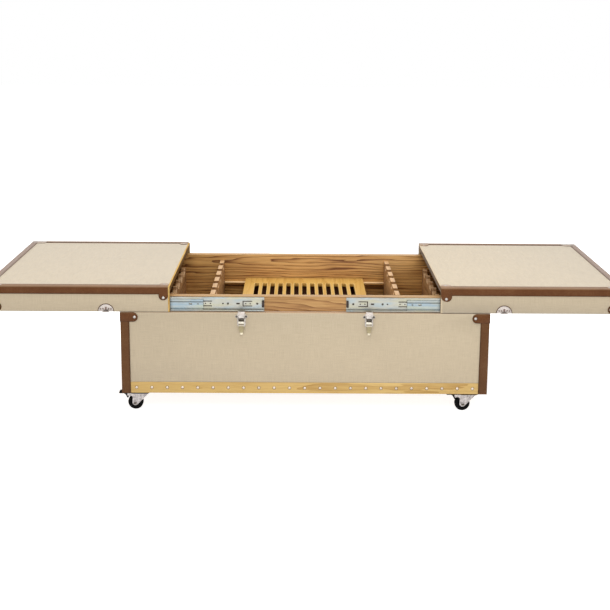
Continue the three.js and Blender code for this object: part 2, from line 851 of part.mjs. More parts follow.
function casterFork() {
  const horn_low = race_bottom - fork_horn_height;
  const foot_back = -caster_trail - fork_foot_radius;
  const waist = foot_back + fork_foot_taper;
  const cheek = new THREE.Shape();
  cheek.moveTo(-fork_horn_reach, horn_low);
  cheek.lineTo(-fork_horn_reach, race_bottom);
  cheek.lineTo(fork_front_reach, race_bottom);
  cheek.lineTo(fork_front_reach, crown_bottom);
  cheek.absarc(-caster_trail, wheel_radius, fork_foot_radius, -Math.PI / 4, -Math.PI, true);
  cheek.lineTo(waist, horn_low - fork_horn_radius);
  cheek.lineTo(waist - fork_horn_radius, horn_low);
  const cheeks = [-1, 1].map((way) => prism(cheek, 'y', way * cheek_near, way * cheek_far));
  const crown = block([-fork_crown_back, fork_front_reach], [-cheek_far, cheek_far], [crown_bottom, race_bottom]);
  const race = prism(disc(0, 0, race_radius), 'z', race_bottom, race_top);
  const axle = prism(disc(-caster_trail, wheel_radius, axle_radius), 'y', -cheek_far, cheek_far);
  const heads = [-1, 1].map((way) => prism(
    disc(-caster_trail, wheel_radius, axle_head_radius),
    'y',
    way * cheek_far,
    way * (cheek_far + axle_head_height),
  ));
  const pedal_pin = prism(disc(-pedal_pivot_back, pedal_pivot_height, pedal_pin_radius), 'y', -cheek_far, cheek_far);
  return fuse(crown, ...cheeks, race, axle, ...heads, pedal_pin);
}

function casterWheel() {
  const rim = wheel_radius / Math.cos(Math.PI / wheel_facets);
  const half = wheel_width / 2;
  const web = half - wheel_hub_recess;
  const bore = axle_radius + running_gap;
  const collar = bore + wheel_hub_recess;
  const side = [
    [bore, half],
    [collar, half],
    [collar + wheel_hub_recess, web],
    [wheel_hub_radius, web],
    [wheel_hub_radius + wheel_hub_recess, half],
    [rim - wheel_edge_radius, half],
    [rim, half - wheel_edge_radius],
  ];
  const other = side.map(([r, y]) => [r, -y]).reverse();
  const profile = [...side, ...other, side[0]].map(([r, y]) => new THREE.Vector2(r, y));
  const wheel = bare(new THREE.LatheGeometry(profile, wheel_facets, Math.PI / wheel_facets));
  wheel.translate(-caster_trail, 0, wheel_radius);
  return flip(wheel);
}

function brakePedal() {
  const pad_top = plate_bottom + caster_plate_thickness - pedal_head_gap;
  const pad_bottom = pad_top - pedal_pad_height;
  const pad_inner = -pedal_reach + pedal_pad_length;
  const bore = pedal_pin_radius + running_gap;
  const half = cheek_near - running_gap * 2;
  const rocker = polygon([
    [-pedal_pivot_back, pedal_pivot_height + pedal_barrel_radius],
    [pad_inner, pad_top],
    [pad_inner, pad_bottom],
    [pad_inner + pedal_arm_length, pedal_pivot_height],
    [-pedal_shoe_back, pedal_shoe_height],
    [-pedal_shoe_back + pedal_shoe_thickness, pedal_shoe_height],
    [-pedal_pivot_back - bore, pedal_pivot_height - bore],
  ]);
  const pad = tabAcross(pad_inner, -pedal_reach, pad_bottom, pad_top);
  const hole = disc(-pedal_pivot_back, pedal_pivot_height, bore);
  const barrel = disc(-pedal_pivot_back, pedal_pivot_height, pedal_barrel_radius);
  return cut(
    fuse(
      prism(barrel, 'y', -half, half),
      prism(rocker, 'y', -half, half),
      prism(pad, 'y', -pedal_pad_width / 2, pedal_pad_width / 2, corner_steps),
    ),
    prism(hole, 'y', -half - overrun, half + overrun),
  );
}

const sides = [['left', -1], ['right', 1]];
const ends = [['front', -1], ['back', 1]];

// Turns a piece that is drawn on the right at the front to its own place.
function placed(geometry, side, end) {
  const across = side < 0 ? mirrored(geometry, 'x') : geometry;
  return end > 0 ? mirrored(across, 'y') : bare(across);
}

trunk();
for (const [end_name, end] of ends) {
  add(`liner_${end_name}`, placed(linerFront(), 1, end), oak);
}
add('ice_bucket', iceBucket(), steel);
add('grate', grate(), pine);

for (const [side_name, side] of sides) {
  add(`liner_${side_name}`, placed(linerEnd(), side, -1), oak);
  add(`divider_${side_name}`, placed(divider(), side, -1), oak);
  add(`bottle_rack_${side_name}`, placed(bottleRack(), side, -1), pine);
  add(`lid_${side_name}_shell`, placed(lidShell(), side, -1), canvas);
  add(`lid_${side_name}_lipping`, placed(lidLipping(), side, -1), oak);
  add(`lid_${side_name}_leather`, placed(lidLeather(), side, -1), leather);

  const latch = new THREE.Group();
  latch.position.x = side * latch_offset;
  table.add(latch);
  add(`latch_${side_name}_base`, latchBase(), nickel, latch);
  add(`latch_${side_name}_lever`, latchLever(), nickel, latch);
  add(`latch_${side_name}_claw`, latchClaw(), nickel, latch);

  const open_lid = new THREE.Group();
  open_lid.position.x = side * (latch_offset + lid_travel);
  table.add(open_lid);
  add(`keeper_${side_name}`, keeper(), nickel, open_lid);

  for (const [end_name, end] of ends) {
    const place = `${end_name}_${side_name}`;
    add(`corner_leather_${place}`, placed(cornerLeather(), side, end), leather);
    add(`slide_outer_${place}`, placed(slideOuter(), side, end), zinc);
    add(`slide_middle_${place}`, placed(slideMiddle(), side, end), zinc);
    add(`slide_inner_${place}`, placed(slideInner(), side, end), zinc);

    const caster = new THREE.Group();
    caster.position.x = side * (half_length - caster_inset_x);
    caster.position.y = end * (half_depth - caster_inset_y);
    table.add(caster);
    add(`caster_${place}_plate`, casterPlate(), black_paint, caster);
    add(`caster_${place}_fork`, casterFork(), zinc, caster);
    add(`caster_${place}_wheel`, casterWheel(), tyre_rubber, caster);
    add(`caster_${place}_pedal`, brakePedal(), pedal_plastic, caster);
  }
}

// The latches stand out further at the front than the leather does at the back,
// so the table moves back by half the difference to centre its footprint.
const footprint = new THREE.Group();
footprint.add(table);
table.position.y = (latch_face - claw_front - leather_thickness) / 2;

export default footprint;
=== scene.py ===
"""Looks of the ice bucket coffee table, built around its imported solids.

Everything is in metres, +Z up, with the origin on the floor under the middle of the open table.
"""

import math
import random
from itertools import groupby

import bmesh
import bpy
from mathutils import Matrix, Vector


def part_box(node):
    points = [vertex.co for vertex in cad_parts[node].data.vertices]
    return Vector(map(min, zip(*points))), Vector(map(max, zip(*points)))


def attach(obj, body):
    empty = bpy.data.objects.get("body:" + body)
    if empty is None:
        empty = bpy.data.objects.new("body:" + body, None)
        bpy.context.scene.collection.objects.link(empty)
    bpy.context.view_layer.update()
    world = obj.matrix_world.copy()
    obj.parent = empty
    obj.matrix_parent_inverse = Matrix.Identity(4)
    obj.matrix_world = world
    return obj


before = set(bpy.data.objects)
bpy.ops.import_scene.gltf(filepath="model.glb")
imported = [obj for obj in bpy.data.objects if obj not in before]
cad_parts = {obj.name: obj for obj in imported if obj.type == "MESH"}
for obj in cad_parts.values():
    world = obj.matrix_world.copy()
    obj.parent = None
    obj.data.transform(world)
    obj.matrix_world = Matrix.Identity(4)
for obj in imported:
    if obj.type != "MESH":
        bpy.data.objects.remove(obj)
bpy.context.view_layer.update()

MM = 0.001
SIDES = (("left", -1), ("right", 1))
ENDS = (("front", -1), ("back", 1))
X, Y, Z = Vector((1, 0, 0)), Vector((0, 1, 0)), Vector((0, 0, 1))

# Places taken from the solids
TRUNK_LOW, TRUNK_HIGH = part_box("trunk_walls")
PLINTH_LOW, PLINTH_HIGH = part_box("plinth_frame")
LID_LOW, LID_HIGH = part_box("lid_right_shell")
LIPPING_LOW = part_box("lid_right_lipping")[0]
LEATHER_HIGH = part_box("lid_right_leather")[1]
CORNER_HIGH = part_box("corner_leather_front_right")[1]
SLIDE_LOW, SLIDE_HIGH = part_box("slide_outer_front_right")
MIDDLE_LOW, MIDDLE_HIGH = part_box("slide_middle_front_right")
LINER_LOW, LINER_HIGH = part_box("liner_front")
BAY_LOW, BAY_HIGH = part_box("liner_right")
GRATE_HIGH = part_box("grate")[1]
LATCH_LOW, LATCH_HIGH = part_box("latch_right_base")
LEVER_LOW, LEVER_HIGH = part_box("latch_right_lever")
KEEPER_LOW, KEEPER_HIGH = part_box("keeper_right")
CLAW_LOW, CLAW_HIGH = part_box("latch_right_claw")

MIDDLE_Y = (TRUNK_LOW.y + TRUNK_HIGH.y) / 2
HALF_LENGTH = TRUNK_HIGH.x
HALF_DEPTH = (TRUNK_HIGH.y - TRUNK_LOW.y) / 2
BAY_HALF_DEPTH = (BAY_HIGH.y - BAY_LOW.y) / 2
LINER_HALF_DEPTH = MIDDLE_Y - LINER_LOW.y
LEATHER_THICKNESS = LEATHER_HIGH.z - LID_HIGH.z
SLIDE_MIDDLE = (SLIDE_LOW.z + SLIDE_HIGH.z) / 2
SLIDE_SHEET = 1.2 * MM
LATCH_X = (LATCH_LOW.x + LATCH_HIGH.x) / 2
KEEPER_X = (KEEPER_LOW.x + KEEPER_HIGH.x) / 2
LATCH_PLATE = 1.5 * MM
LATCH_FACE = TRUNK_LOW.y - LATCH_PLATE
LEATHER_REACH = HALF_DEPTH + LEATHER_THICKNESS


def rgb(red, green, blue):
    """A colour given as 0 to 255 on screen, in the linear values that shaders take."""
    return tuple(
        (c / 255 / 12.92 if c / 255 <= 0.04045 else ((c / 255 + 0.055) / 1.055) ** 2.4)
        for c in (red, green, blue)
    ) + (1.0,)


# Node materials
class Nodes:
    """Short ways to add nodes to a tree."""

    def __init__(self, tree):
        self.tree = tree

    def node(self, kind, inputs=None, **settings):
        made = self.tree.nodes.new(kind)
        for key, value in settings.items():
            setattr(made, key, value)
        for key, value in (inputs or {}).items():
            if isinstance(value, bpy.types.NodeSocket):
                self.tree.links.new(value, made.inputs[key])
            else:
                made.inputs[key].default_value = value
        return made

    def math(self, operation, a, b=0.0):
        return self.node("ShaderNodeMath", {0: a, 1: b}, operation=operation).outputs[0]

    def times(self, first, *others):
        for other in others:
            first = self.math("MULTIPLY", first, other)
        return first

    def plus(self, first, *others):
        for other in others:
            first = self.math("ADD", first, other)
        return first

    def minus(self, a, b):
        return self.math("SUBTRACT", a, b)

    def above(self, value, level):
        return self.math("GREATER_THAN", value, level)

    def below(self, value, level):
        return self.math("LESS_THAN", value, level)

    def within(self, value, low, high):
        """1 where a value lies between two levels, else 0."""
        return self.times(self.above(value, low), self.below(value, high))

    def away(self, value, centre=0.0):
        """How far a value lies from a centre, to either side."""
        return self.math("ABSOLUTE", self.minus(value, centre))

    def span(self, value, low, high, to_low=0.0, to_high=1.0):
        inputs = {"Value": value, 1: low, 2: high, 3: to_low, 4: to_high}
        return self.node("ShaderNodeMapRange", inputs).outputs[0]

    def seen(self):
        """1 for what the camera, reflections and clear materials see, else 0."""
        path = self.node("ShaderNodeLightPath").outputs
        rays = self.math("MAXIMUM", path["Is Camera Ray"], path["Is Glossy Ray"])
        return self.math("MAXIMUM", rays, path["Is Transmission Ray"])


class Look(Nodes):
    """A material built from nodes."""

    def __init__(self, name, roughness, gloss=0.5, metallic=0.0, **fixed):
        self.material = bpy.data.materials.new(name)
        self.material.use_nodes = True
        super().__init__(self.material.node_tree)
        self.shader = self.tree.nodes["Principled BSDF"]
        fixed.update(Roughness=roughness, Specular_IOR_Level=gloss, Metallic=metallic)
        for socket, value in fixed.items():
            self.shader.inputs[socket.replace("_", " ")].default_value = value
        coordinates = self.node("ShaderNodeTexCoord").outputs
        self.place = coordinates["Object"]
        self.x, self.y, self.z = self.node("ShaderNodeSeparateXYZ", {0: self.place}).outputs
        self.normal = self.node("ShaderNodeSeparateXYZ", {0: coordinates["Normal"]}).outputs

    def faces(self, axis):
        """1 on the faces that are square to an axis, given as 0, 1 or 2, else 0."""
        return self.above(self.math("ABSOLUTE", self.normal[axis]), 0.7)

    def scaled(self, scale, place=None, shift=(0, 0, 0)):
        inputs = {"Vector": place or self.place, "Scale": scale, "Location": shift}
        return self.node("ShaderNodeMapping", inputs).outputs[0]

    def noise(self, place, scale=1.0, detail=2.0, roughness=0.5, distortion=0.0):
        inputs = {"Vector": place, "Scale": scale, "Detail": detail, "Roughness": roughness}
        inputs["Distortion"] = distortion
        return self.node("ShaderNodeTexNoise", inputs).outputs["Fac"]

    def ramp(self, value, stops):
        """Colours by a value; each stop is a position and a colour of 0 to 255."""
        made = self.node("ShaderNodeValToRGB", {"Fac": value})
        elements = made.color_ramp.elements
        while len(elements) < len(stops):
            elements.new(0.5)
        for element, (position, colour) in zip(elements, stops):
            element.position = position
            element.color = rgb(*colour)
        return made.outputs["Color"]

    def mix(self, share, a, b, blend="MIX"):
        """One colour into another; each is a socket or three numbers of 0 to 255."""
        a, b = [rgb(*c) if isinstance(c, tuple) else c for c in (a, b)]
        settings = {"data_type": "RGBA", "blend_type": blend}
        return self.node("ShaderNodeMix", {0: share, 6: a, 7: b}, **settings).outputs[2]

    def pick(self, share, a, b):
        return self.node("ShaderNodeMix", {0: share, 2: a, 3: b}).outputs[0]

    def shaded(self, colour, share):
        """A colour times a share of grey."""
        grey = self.node("ShaderNodeCombineColor", {0: share, 1: share, 2: share}).outputs[0]
        return self.mix(1.0, colour, grey, "MULTIPLY")

    def drive(self, socket, value):
        self.tree.links.new(value, self.shader.inputs[socket])

    def paint(self, colour, roughness=None):
        self.drive("Base Color", colour)
        if roughness:
            self.drive("Roughness", roughness)

    def bump(self, height, depth, strength=1.0):
        inputs = {"Height": height, "Distance": depth, "Strength": strength}
        previous = self.shader.inputs["Normal"].links
        if previous:
            inputs["Normal"] = previous[0].from_socket
        self.drive("Normal", self.node("ShaderNodeBump", inputs).outputs[0])


YARN_PITCH = 2.2 * MM


def weave(look, light, middle, dark):
    """Plain weave of uneven yarn, laid flat on each side of a box: its colour and its height."""
    u = look.pick(look.faces(0), look.x, look.y)
    v = look.pick(look.faces(2), look.z, look.y)
    plane = look.node("ShaderNodeCombineXYZ", {0: u, 1: v}).outputs[0]
    wobble = look.noise(look.scaled((60, 60, 60), plane), detail=1)
    shift = look.times(look.minus(wobble, 0.5), 0.9)

    def threads(length):
        return look.math("SINE", look.plus(look.times(length, math.pi / YARN_PITCH), shift))

    warp, weft = threads(u), threads(v)
    over = look.above(look.times(warp, weft), 0.0)
    height = look.pick(over, look.math("ABSOLUTE", warp), look.math("ABSOLUTE", weft))
    slub_u = look.noise(look.scaled((700, 22, 1), plane))
    slub_v = look.noise(look.scaled((22, 700, 1), plane))
    slub = look.pick(over, slub_u, slub_v)
    cloud = look.noise(look.scaled((5, 5, 5), plane), detail=3)
    base = look.ramp(slub, [(0.3, dark), (0.5, middle), (0.72, light)])
    gaps = look.span(height, 0.0, 0.5, 0.86, 1.02)
    return look.shaded(base, look.times(gaps, look.span(cloud, 0.3, 0.7, 0.985, 1.02))), height


CANVAS_TONES = ((214, 198, 170), (206, 189, 161), (195, 178, 150))
BARE_PLY = ((0.3, (150, 112, 68)), (0.5, (190, 150, 100)), (0.7, (208, 172, 124)))
# Painted shading on upright canvas: the trunk lighter at its foot and darker at its top, the lid skirts
# evenly darker
TRUNK_PAINTED_LIGHT = (1.04, 0.90)
LID_PAINTED_SHADE = (0.93, 0.93)
HEM_WIDTH = 2.6 * MM
RIM_REACH = 0.5 * MM


def canvas_look(hem_low, hem_high, painted_light_span, bare=None):
    """Canvas with painted shade along its lower hem, a painted highlight along its upper fold, and
    painted shading by height on upright faces.

    bare gives the half length, half depth and top of a hollow that shows its plywood.
    """
    look = Look("canvas", 0.88, 0.2, Sheen_Weight=0.75, Sheen_Roughness=0.45)
    colour, height = weave(look, *CANVAS_TONES)
    upright = look.minus(1.0, look.faces(2))
    # Painted shading by height on upright faces
    painted_shading = look.span(look.z, hem_low, hem_high, *painted_light_span)
    fleck = look.noise(look.scaled((95, 24, 30)))
    flecked = look.span(fleck, 0.3, 0.7, 0.955, 1.045)
    colour = look.shaded(colour, look.pick(look.faces(2), painted_shading, flecked))
    low_hem_shade = look.times(upright, look.below(look.z, hem_low + HEM_WIDTH))
    high_fold_highlight = look.times(upright, look.above(look.z, hem_high - HEM_WIDTH))
    # Painted shade along the lower hem of upright faces
    colour = look.shaded(colour, look.span(low_hem_shade, 0.0, 1.0, 1.0, 0.80))
    # Painted highlight along the upper fold of upright faces
    colour = look.mix(look.times(high_fold_highlight, 0.2), colour, (238, 222, 194))
    rim = look.times(look.faces(2), look.within(look.z, hem_high - RIM_REACH, hem_high + RIM_REACH))
    colour = look.mix(look.times(rim, 0.8), colour, (190, 148, 98))
    if bare:
        length, depth, level = bare
        inside = look.times(
            look.below(look.away(look.x), length),
            look.below(look.away(look.y, MIDDLE_Y), depth),
            look.below(look.z, level),
        )
        layers = look.noise(look.scaled((4, 90, 900)), detail=4, roughness=0.6)
        colour = look.mix(inside, colour, look.ramp(layers, BARE_PLY))
    look.paint(colour)
    look.bump(height, 0.3 * MM, 0.6)
    return look.material


FOLD_SHEEN_REACH = 4.6 * MM
SHEEN_AND_WEAR_SHARE = 0.8
BAND_WIDTH = 20 * MM
BAND_END_MARGIN = 1 * MM
TAB_MARGIN = 3 * MM
WARM_GLINT = (1.0, 0.45, 0.2, 1.0)


def leather_look(name, dark, middle, light, sheen_tone):
    """Brown hide with a fine grain and creases, made pale on upward faces and along the lid's fold by a
    painted sheen that random wear makes uneven.
    """
    look = Look(name, 0.5, Specular_Tint=WARM_GLINT, Sheen_Weight=0.12, Sheen_Roughness=0.3)
    voronoi = {"Vector": look.place, "Scale": 700.0}
    cells = look.node("ShaderNodeTexVoronoi", voronoi, feature="DISTANCE_TO_EDGE")
    grain = look.span(cells.outputs["Distance"], 0.0, 0.25)
    patch = look.noise(look.place, scale=11, detail=5, roughness=0.6)
    fine = look.noise(look.place, scale=240, detail=3)
    tone = look.plus(look.times(patch, 0.6), look.times(fine, 0.4))
    colour = look.ramp(tone, [(0.32, dark), (0.5, middle), (0.7, light)])
    crease = look.noise(look.scaled((30, 30, 200)), detail=4, roughness=0.7, distortion=1.5)
    creased = look.span(crease, 0.62, 0.7)
    colour = look.mix(look.times(creased, 0.3), colour, dark)
    # Painted sheen on upward faces and along the lid's fold, uneven like wear
    fold_sheen = look.span(look.z, LEATHER_HIGH.z - FOLD_SHEEN_REACH, LEATHER_HIGH.z - FOLD_SHEEN_REACH * 0.6)
    upward = look.span(look.normal[2], 0.3, 0.9)
    sheen_and_wear = look.times(look.math("MAXIMUM", fold_sheen, upward), look.span(patch, 0.3, 0.6, 0.75, 1.0))
    colour = look.mix(look.times(sheen_and_wear, SHEEN_AND_WEAR_SHARE), colour, sheen_tone)
    # Painted reflection on the tabs' tops
    tab_top_reflection = look.times(
        upward,
        look.below(look.away(look.y, MIDDLE_Y), HALF_DEPTH - BAND_WIDTH),
        look.below(look.away(look.x), LEATHER_HIGH.x - BAND_WIDTH - TAB_MARGIN),
    )
    # Painted grey reflection on the tops of the band ends
    end = LEATHER_HIGH.x - BAND_WIDTH - BAND_END_MARGIN
    band_end_reflection = look.times(upward, look.above(look.away(look.x), end))
    colour = look.mix(look.times(band_end_reflection, 0.55), colour, (150, 137, 130))
    colour = look.mix(look.times(tab_top_reflection, 0.7), colour, (196, 176, 156))
    look.paint(colour, look.span(tone, 0.3, 0.7, 0.44, 0.6))
    look.bump(grain, 0.12 * MM, 0.5)
    look.bump(creased, 0.1 * MM, 0.3)
    return look.material


RING_PERIOD = 1.3
RING_TAPER = 0.06
RING_WARP = 60 * MM
RING_RIPPLE = 6 * MM


def wood_colour(look, along, tones, seed, heart, ring=11 * MM, contrast=1.0):
    """Sawn wood's colour and relief: nested rings round a heart, streaks, pores and fine lines."""
    light, middle, dark = tones

    def grain(with_grain, across_grain, shift=(0, 0, 0), **settings):
        scale = tuple(with_grain if i == along else across_grain for i in range(3))
        return look.noise(look.scaled(scale, shift=shift), **settings)

    lengths = (look.x, look.y, look.z)
    across = [lengths[i] for i in range(3) if i != along]
    across[0] = look.away(across[0])
    run = look.plus(lengths[along], seed * 0.37 + RING_PERIOD * 5)
    run = look.math("PINGPONG", run, RING_PERIOD / 2)
    run = look.minus(run, RING_PERIOD * 0.12)
    squares = [look.math("POWER", look.away(a, h), 2.0) for a, h in zip(across, heart)]
    squares.append(look.math("POWER", look.times(run, RING_TAPER), 2.0))
    warp = grain(1.6, 15.0, (seed, seed * 1.7, seed * 0.6), detail=3, roughness=0.55)
    ripple = grain(8.0, 60.0)
    radius = look.plus(look.math("SQRT", look.plus(*squares)), look.times(warp, RING_WARP))
    radius = look.plus(radius, look.times(ripple, RING_RIPPLE))
    late = look.math("POWER", look.math("FRACT", look.times(radius, 1 / ring)), 4.0)
    streak = grain(5.0, 160.0, (seed, 0, seed), detail=3, roughness=0.7)
    cloud = grain(4.0, 18.0, (seed * 2, 0, 0))
    tone = look.plus(
        look.times(late, 0.58 * contrast),
        look.times(look.minus(streak, 0.5), 0.8 * contrast),
        look.times(look.minus(cloud, 0.5), 0.6),
        0.27,
    )
    colour = look.ramp(tone, [(0.08, light), (0.42, middle), (0.9, dark)])
    line = look.span(grain(2.2, 330.0, (seed, seed, 0), roughness=0.6), 0.56, 0.66)
    pore = look.span(grain(16.0, 520.0, detail=1), 0.58, 0.7)
    colour = look.mix(look.times(line, 0.3 * contrast), colour, dark)
    colour = look.mix(look.times(pore, 0.4), colour, dark)
    return colour, look.minus(tone, pore)


def wood_look(name, along, tones, change=None, roughness=0.45, gloss=0.3, **grain):
    """Sawn and lacquered wood with its grain along one axis."""
    look = Look(name, roughness, gloss, Coat_Weight=gloss * 0.2, Coat_Roughness=0.4)
    colour, height = wood_colour(look, along, tones, **grain)
    if change:
        colour = change(look, colour)
    look.paint(colour, look.span(height, 0.0, 0.8, roughness - 0.05, roughness + 0.1))
    look.bump(height, 0.15 * MM, 0.4)
    return look.material


def metal_look(name, dark, light, roughness, change=None, brushed=None, painted_down_shade=0.0, spangle=40):
    """Plated or brushed metal, uneven in tone and polish, with painted shade where it faces down."""
    look = Look(name, roughness, metallic=1.0)
    if brushed:
        lines = look.noise(look.scaled(brushed), detail=3)
    else:
        lines = look.noise(look.place, scale=350, detail=3)
    cloud = look.noise(look.place, scale=spangle, detail=4)
    tone = look.plus(look.times(lines, 0.35), look.times(cloud, 0.65))
    colour = look.ramp(tone, [(0.35, dark), (0.65, light)])
    if change:
        colour = change(look, colour)
    if painted_down_shade:
        # Painted shade on faces that turn downwards
        colour = look.shaded(colour, look.span(look.normal[2], -0.7, 0.7, 1.0 - painted_down_shade, 1.0))
    look.paint(colour, look.span(tone, 0.3, 0.7, roughness - 0.05, roughness + 0.08))
    look.bump(lines, 0.04 * MM, 0.25)
    return look.material


def moulded_look(name, dark, light, roughness, fine_scale, dust_scale, gloss=0.25):
    """Rubber, plastic or paint with a fine texture and a little dust."""
    look = Look(name, roughness, gloss)
    fine = look.noise(look.place, scale=fine_scale)
    dust = look.noise(look.place, scale=dust_scale, detail=5, roughness=0.7)
    colour = look.ramp(dust, [(0.4, dark), (0.75, light)])
    look.paint(colour, look.span(dust, 0.3, 0.7, roughness - 0.06, roughness + 0.1))
    look.bump(fine, 0.06 * MM, 0.4)
    return look.material


# Changes of tone by place
BATTEN_MARGIN = 0.5 * MM
LINER_RIM = 1.5 * MM
LINER_SKIN = 0.3 * MM
SLIDE_MARGIN = 1.5 * MM


def liner_change(look, colour):
    """A paler rim, a painted highlight on the battens' level faces, and painted shade where the slides
    lie over the board.
    """
    off = look.away(look.y, MIDDLE_Y)
    batten_highlight = look.below(off, BAY_HALF_DEPTH - BATTEN_MARGIN)
    # Painted highlight on the battens' level faces
    colour = look.mix(look.times(batten_highlight, look.faces(2), 0.85), colour, (243, 212, 160))
    top = look.above(look.z, LINER_HIGH.z - LINER_RIM)
    colour = look.mix(look.times(top, 0.45), colour, (188, 154, 108))
    # Painted shade under the slides, seen through their holes
    slide_shade = look.times(
        look.above(off, LINER_HALF_DEPTH - LINER_SKIN),
        look.within(look.away(look.x), SLIDE_LOW.x + SLIDE_MARGIN, SLIDE_HIGH.x - SLIDE_MARGIN),
        look.within(look.z, SLIDE_LOW.z + SLIDE_MARGIN, SLIDE_HIGH.z - SLIDE_MARGIN),
    )
    return look.mix(slide_shade, colour, (58, 46, 38))


GRATE_PITCH = 29.5 * MM
GRATE_SLOT = 17 * MM
GRATE_SLOT_END = 197 * MM
GRATE_ROW_END = GRATE_PITCH * 6 + GRATE_SLOT / 2
ARRIS = 1.6 * MM
MITRE = 2.4 * MM


def grate_change(look, colour):
    """Pale arrises along the slots and thin mitre joints at the frame's corners."""
    phase = look.math("PINGPONG", look.x, GRATE_PITCH / 2)
    arris = look.below(look.away(phase, GRATE_SLOT / 2), ARRIS)
    off_x, off_y = look.away(look.x), look.away(look.y, MIDDLE_Y)
    in_row = look.times(
        look.below(off_x, GRATE_ROW_END + ARRIS),
        look.below(off_y, GRATE_SLOT_END + ARRIS),
    )
    colour = look.mix(look.times(arris, in_row, 0.6), colour, (246, 214, 142))
    rise = (GRATE_HIGH.y - MIDDLE_Y - GRATE_SLOT_END) / (GRATE_HIGH.x - GRATE_ROW_END)
    beyond = look.minus(off_x, GRATE_ROW_END)
    line = look.minus(off_y, look.times(beyond, rise))
    mitre = look.times(
        look.below(look.away(line, GRATE_SLOT_END), MITRE),
        look.above(off_x, GRATE_ROW_END),
    )
    return look.mix(look.times(mitre, 0.6), colour, (150, 104, 44))


def lipping_end_shade(look, colour):
    """Painted shade on the sawn face towards the well."""
    return look.mix(look.times(look.faces(0), 0.85), colour, (84, 56, 34))


def rack_top_highlight(look, colour):
    """Painted highlight on the upper edges of the scalloped boards."""
    return look.mix(look.times(look.faces(2), 0.6), colour, (226, 186, 138))


BLOOM = ((0.36, (255, 252, 232)), (0.5, (250, 250, 246)), (0.62, (236, 248, 255)))


def passivation(look, colour):
    """The faint yellow and blue bloom of passivated zinc."""
    drift = look.noise(look.scaled((14, 60, 60)))
    return look.mix(1.0, colour, look.ramp(drift, BLOOM), "MULTIPLY")


def banded(low, high, *bands, first=None):
    """A change of tone with the share of the way up, after another change if there is one."""

    def change(look, colour):
        if first:
            colour = first(look, colour)
        return look.mix(1.0, colour, look.ramp(look.span(look.z, low.z, high.z), bands), "MULTIPLY")

    return change


# Painted highlights along the middle slide member's pressed rib, and painted shade along its lower edge
# and under its upper lip
rib_painted_light = banded(
    MIDDLE_LOW,
    MIDDLE_HIGH,
    (0.0, (110, 112, 112)),
    (0.10, (236, 240, 240)),
    (0.34, (244, 250, 255)),
    (0.42, (220, 236, 250)),
    (0.60, (240, 246, 252)),
    (0.63, (120, 122, 120)),
    (0.67, (126, 128, 126)),
    (0.70, (240, 244, 248)),
    (1.0, (226, 230, 232)),
    first=passivation,
)
# Painted light up the lever: painted highlights on its roll and tip, and painted shade in bands below
# its roll and above it
lever_painted_light = banded(
    LEVER_LOW,
    LEVER_HIGH,
    (0.0, (226, 219, 202)),
    (0.10, (220, 213, 196)),
    (0.14, (190, 180, 150)),
    (0.58, (176, 166, 138)),
    (0.61, (212, 204, 192)),
    (0.68, (222, 214, 204)),
    (0.71, (150, 140, 126)),
    (0.76, (120, 112, 100)),
    (0.79, (255, 252, 244)),
    (0.90, (255, 252, 244)),
    (0.93, (80, 74, 66)),
    (1.0, (84, 78, 70)),
)
# The shade under the claw's bow
claw_change = banded(
    CLAW_LOW,
    CLAW_HIGH,
    (0.0, (240, 236, 230)),
    (0.3, (238, 234, 228)),
    (0.36, (120, 112, 104)),
    (0.5, (126, 118, 110)),
    (0.6, (244, 240, 238)),
    (1.0, (250, 246, 244)),
)

OAK = ((222, 174, 106), (194, 144, 82), (112, 68, 28))
FACE_OAK = ((200, 156, 98), (172, 127, 76), (104, 66, 30))
PALE_OAK = ((226, 194, 126), (206, 168, 100), (156, 112, 56))
BOARD = ((184, 140, 92), (156, 114, 72), (108, 72, 42))
GOLDEN = ((214, 172, 92), (200, 155, 76), (168, 120, 52))
PINE = ((218, 184, 116), (204, 168, 101), (166, 122, 58))
PLYWOOD = ((214, 176, 126), (198, 158, 108), (160, 118, 72))

TRUNK_CANVAS = canvas_look(PLINTH_HIGH.z, TRUNK_HIGH.z, TRUNK_PAINTED_LIGHT)
ABOVE_LID = 1.0
LID_WALL = 8 * MM
HOLLOW_DROP = 17.5 * MM
LID_HOLLOW = (LID_HIGH.x - LID_WALL, HALF_DEPTH - LID_WALL, LID_HIGH.z - HOLLOW_DROP)
LID_CANVAS = canvas_look(LID_LOW.z, ABOVE_LID, LID_PAINTED_SHADE, LID_HOLLOW)
LEATHER = leather_look("leather", (68, 41, 25), (83, 51, 31), (103, 70, 46), (147, 119, 94))
POST_LEATHER = leather_look("leather_post", (68, 46, 30), (83, 57, 38), (103, 77, 53), (147, 119, 94))
LEATHER_EDGE = leather_look("leather_edge", (34, 21, 13), (46, 29, 19), (64, 43, 30), (84, 62, 46))
# Grey leather for the lid's top patches: a painted reflection
SHEEN_PAINTED_LEATHER = leather_look(
    "leather_painted_sheen", (120, 108, 98), (146, 136, 126), (168, 160, 150), (176, 168, 160)
)
THREAD = moulded_look("thread", (74, 50, 34), (104, 76, 54), 0.7, 2600, 900)
ALONG_X = 0
ALONG_Y = 1
LINER_HEART = (BAY_HALF_DEPTH, SLIDE_MIDDLE)
FACE_HEART = (SLIDE_MIDDLE + 6 * MM, BAY_HALF_DEPTH + 10 * MM)
LIPPING_HEART = (0.0, LID_LOW.z)
LIPPING_SEED = 1.3
OAK_X = wood_look("oak_along_x", ALONG_X, OAK, liner_change, heart=LINER_HEART, seed=3.0, contrast=1.35)
OAK_FACE = wood_look(
    "oak_face", ALONG_X, FACE_OAK, liner_change, heart=FACE_HEART, ring=9 * MM, seed=3.4, contrast=1.05
)
OAK_Y = wood_look("oak_along_y", ALONG_Y, OAK, heart=(HALF_LENGTH, SLIDE_MIDDLE), seed=3.1)
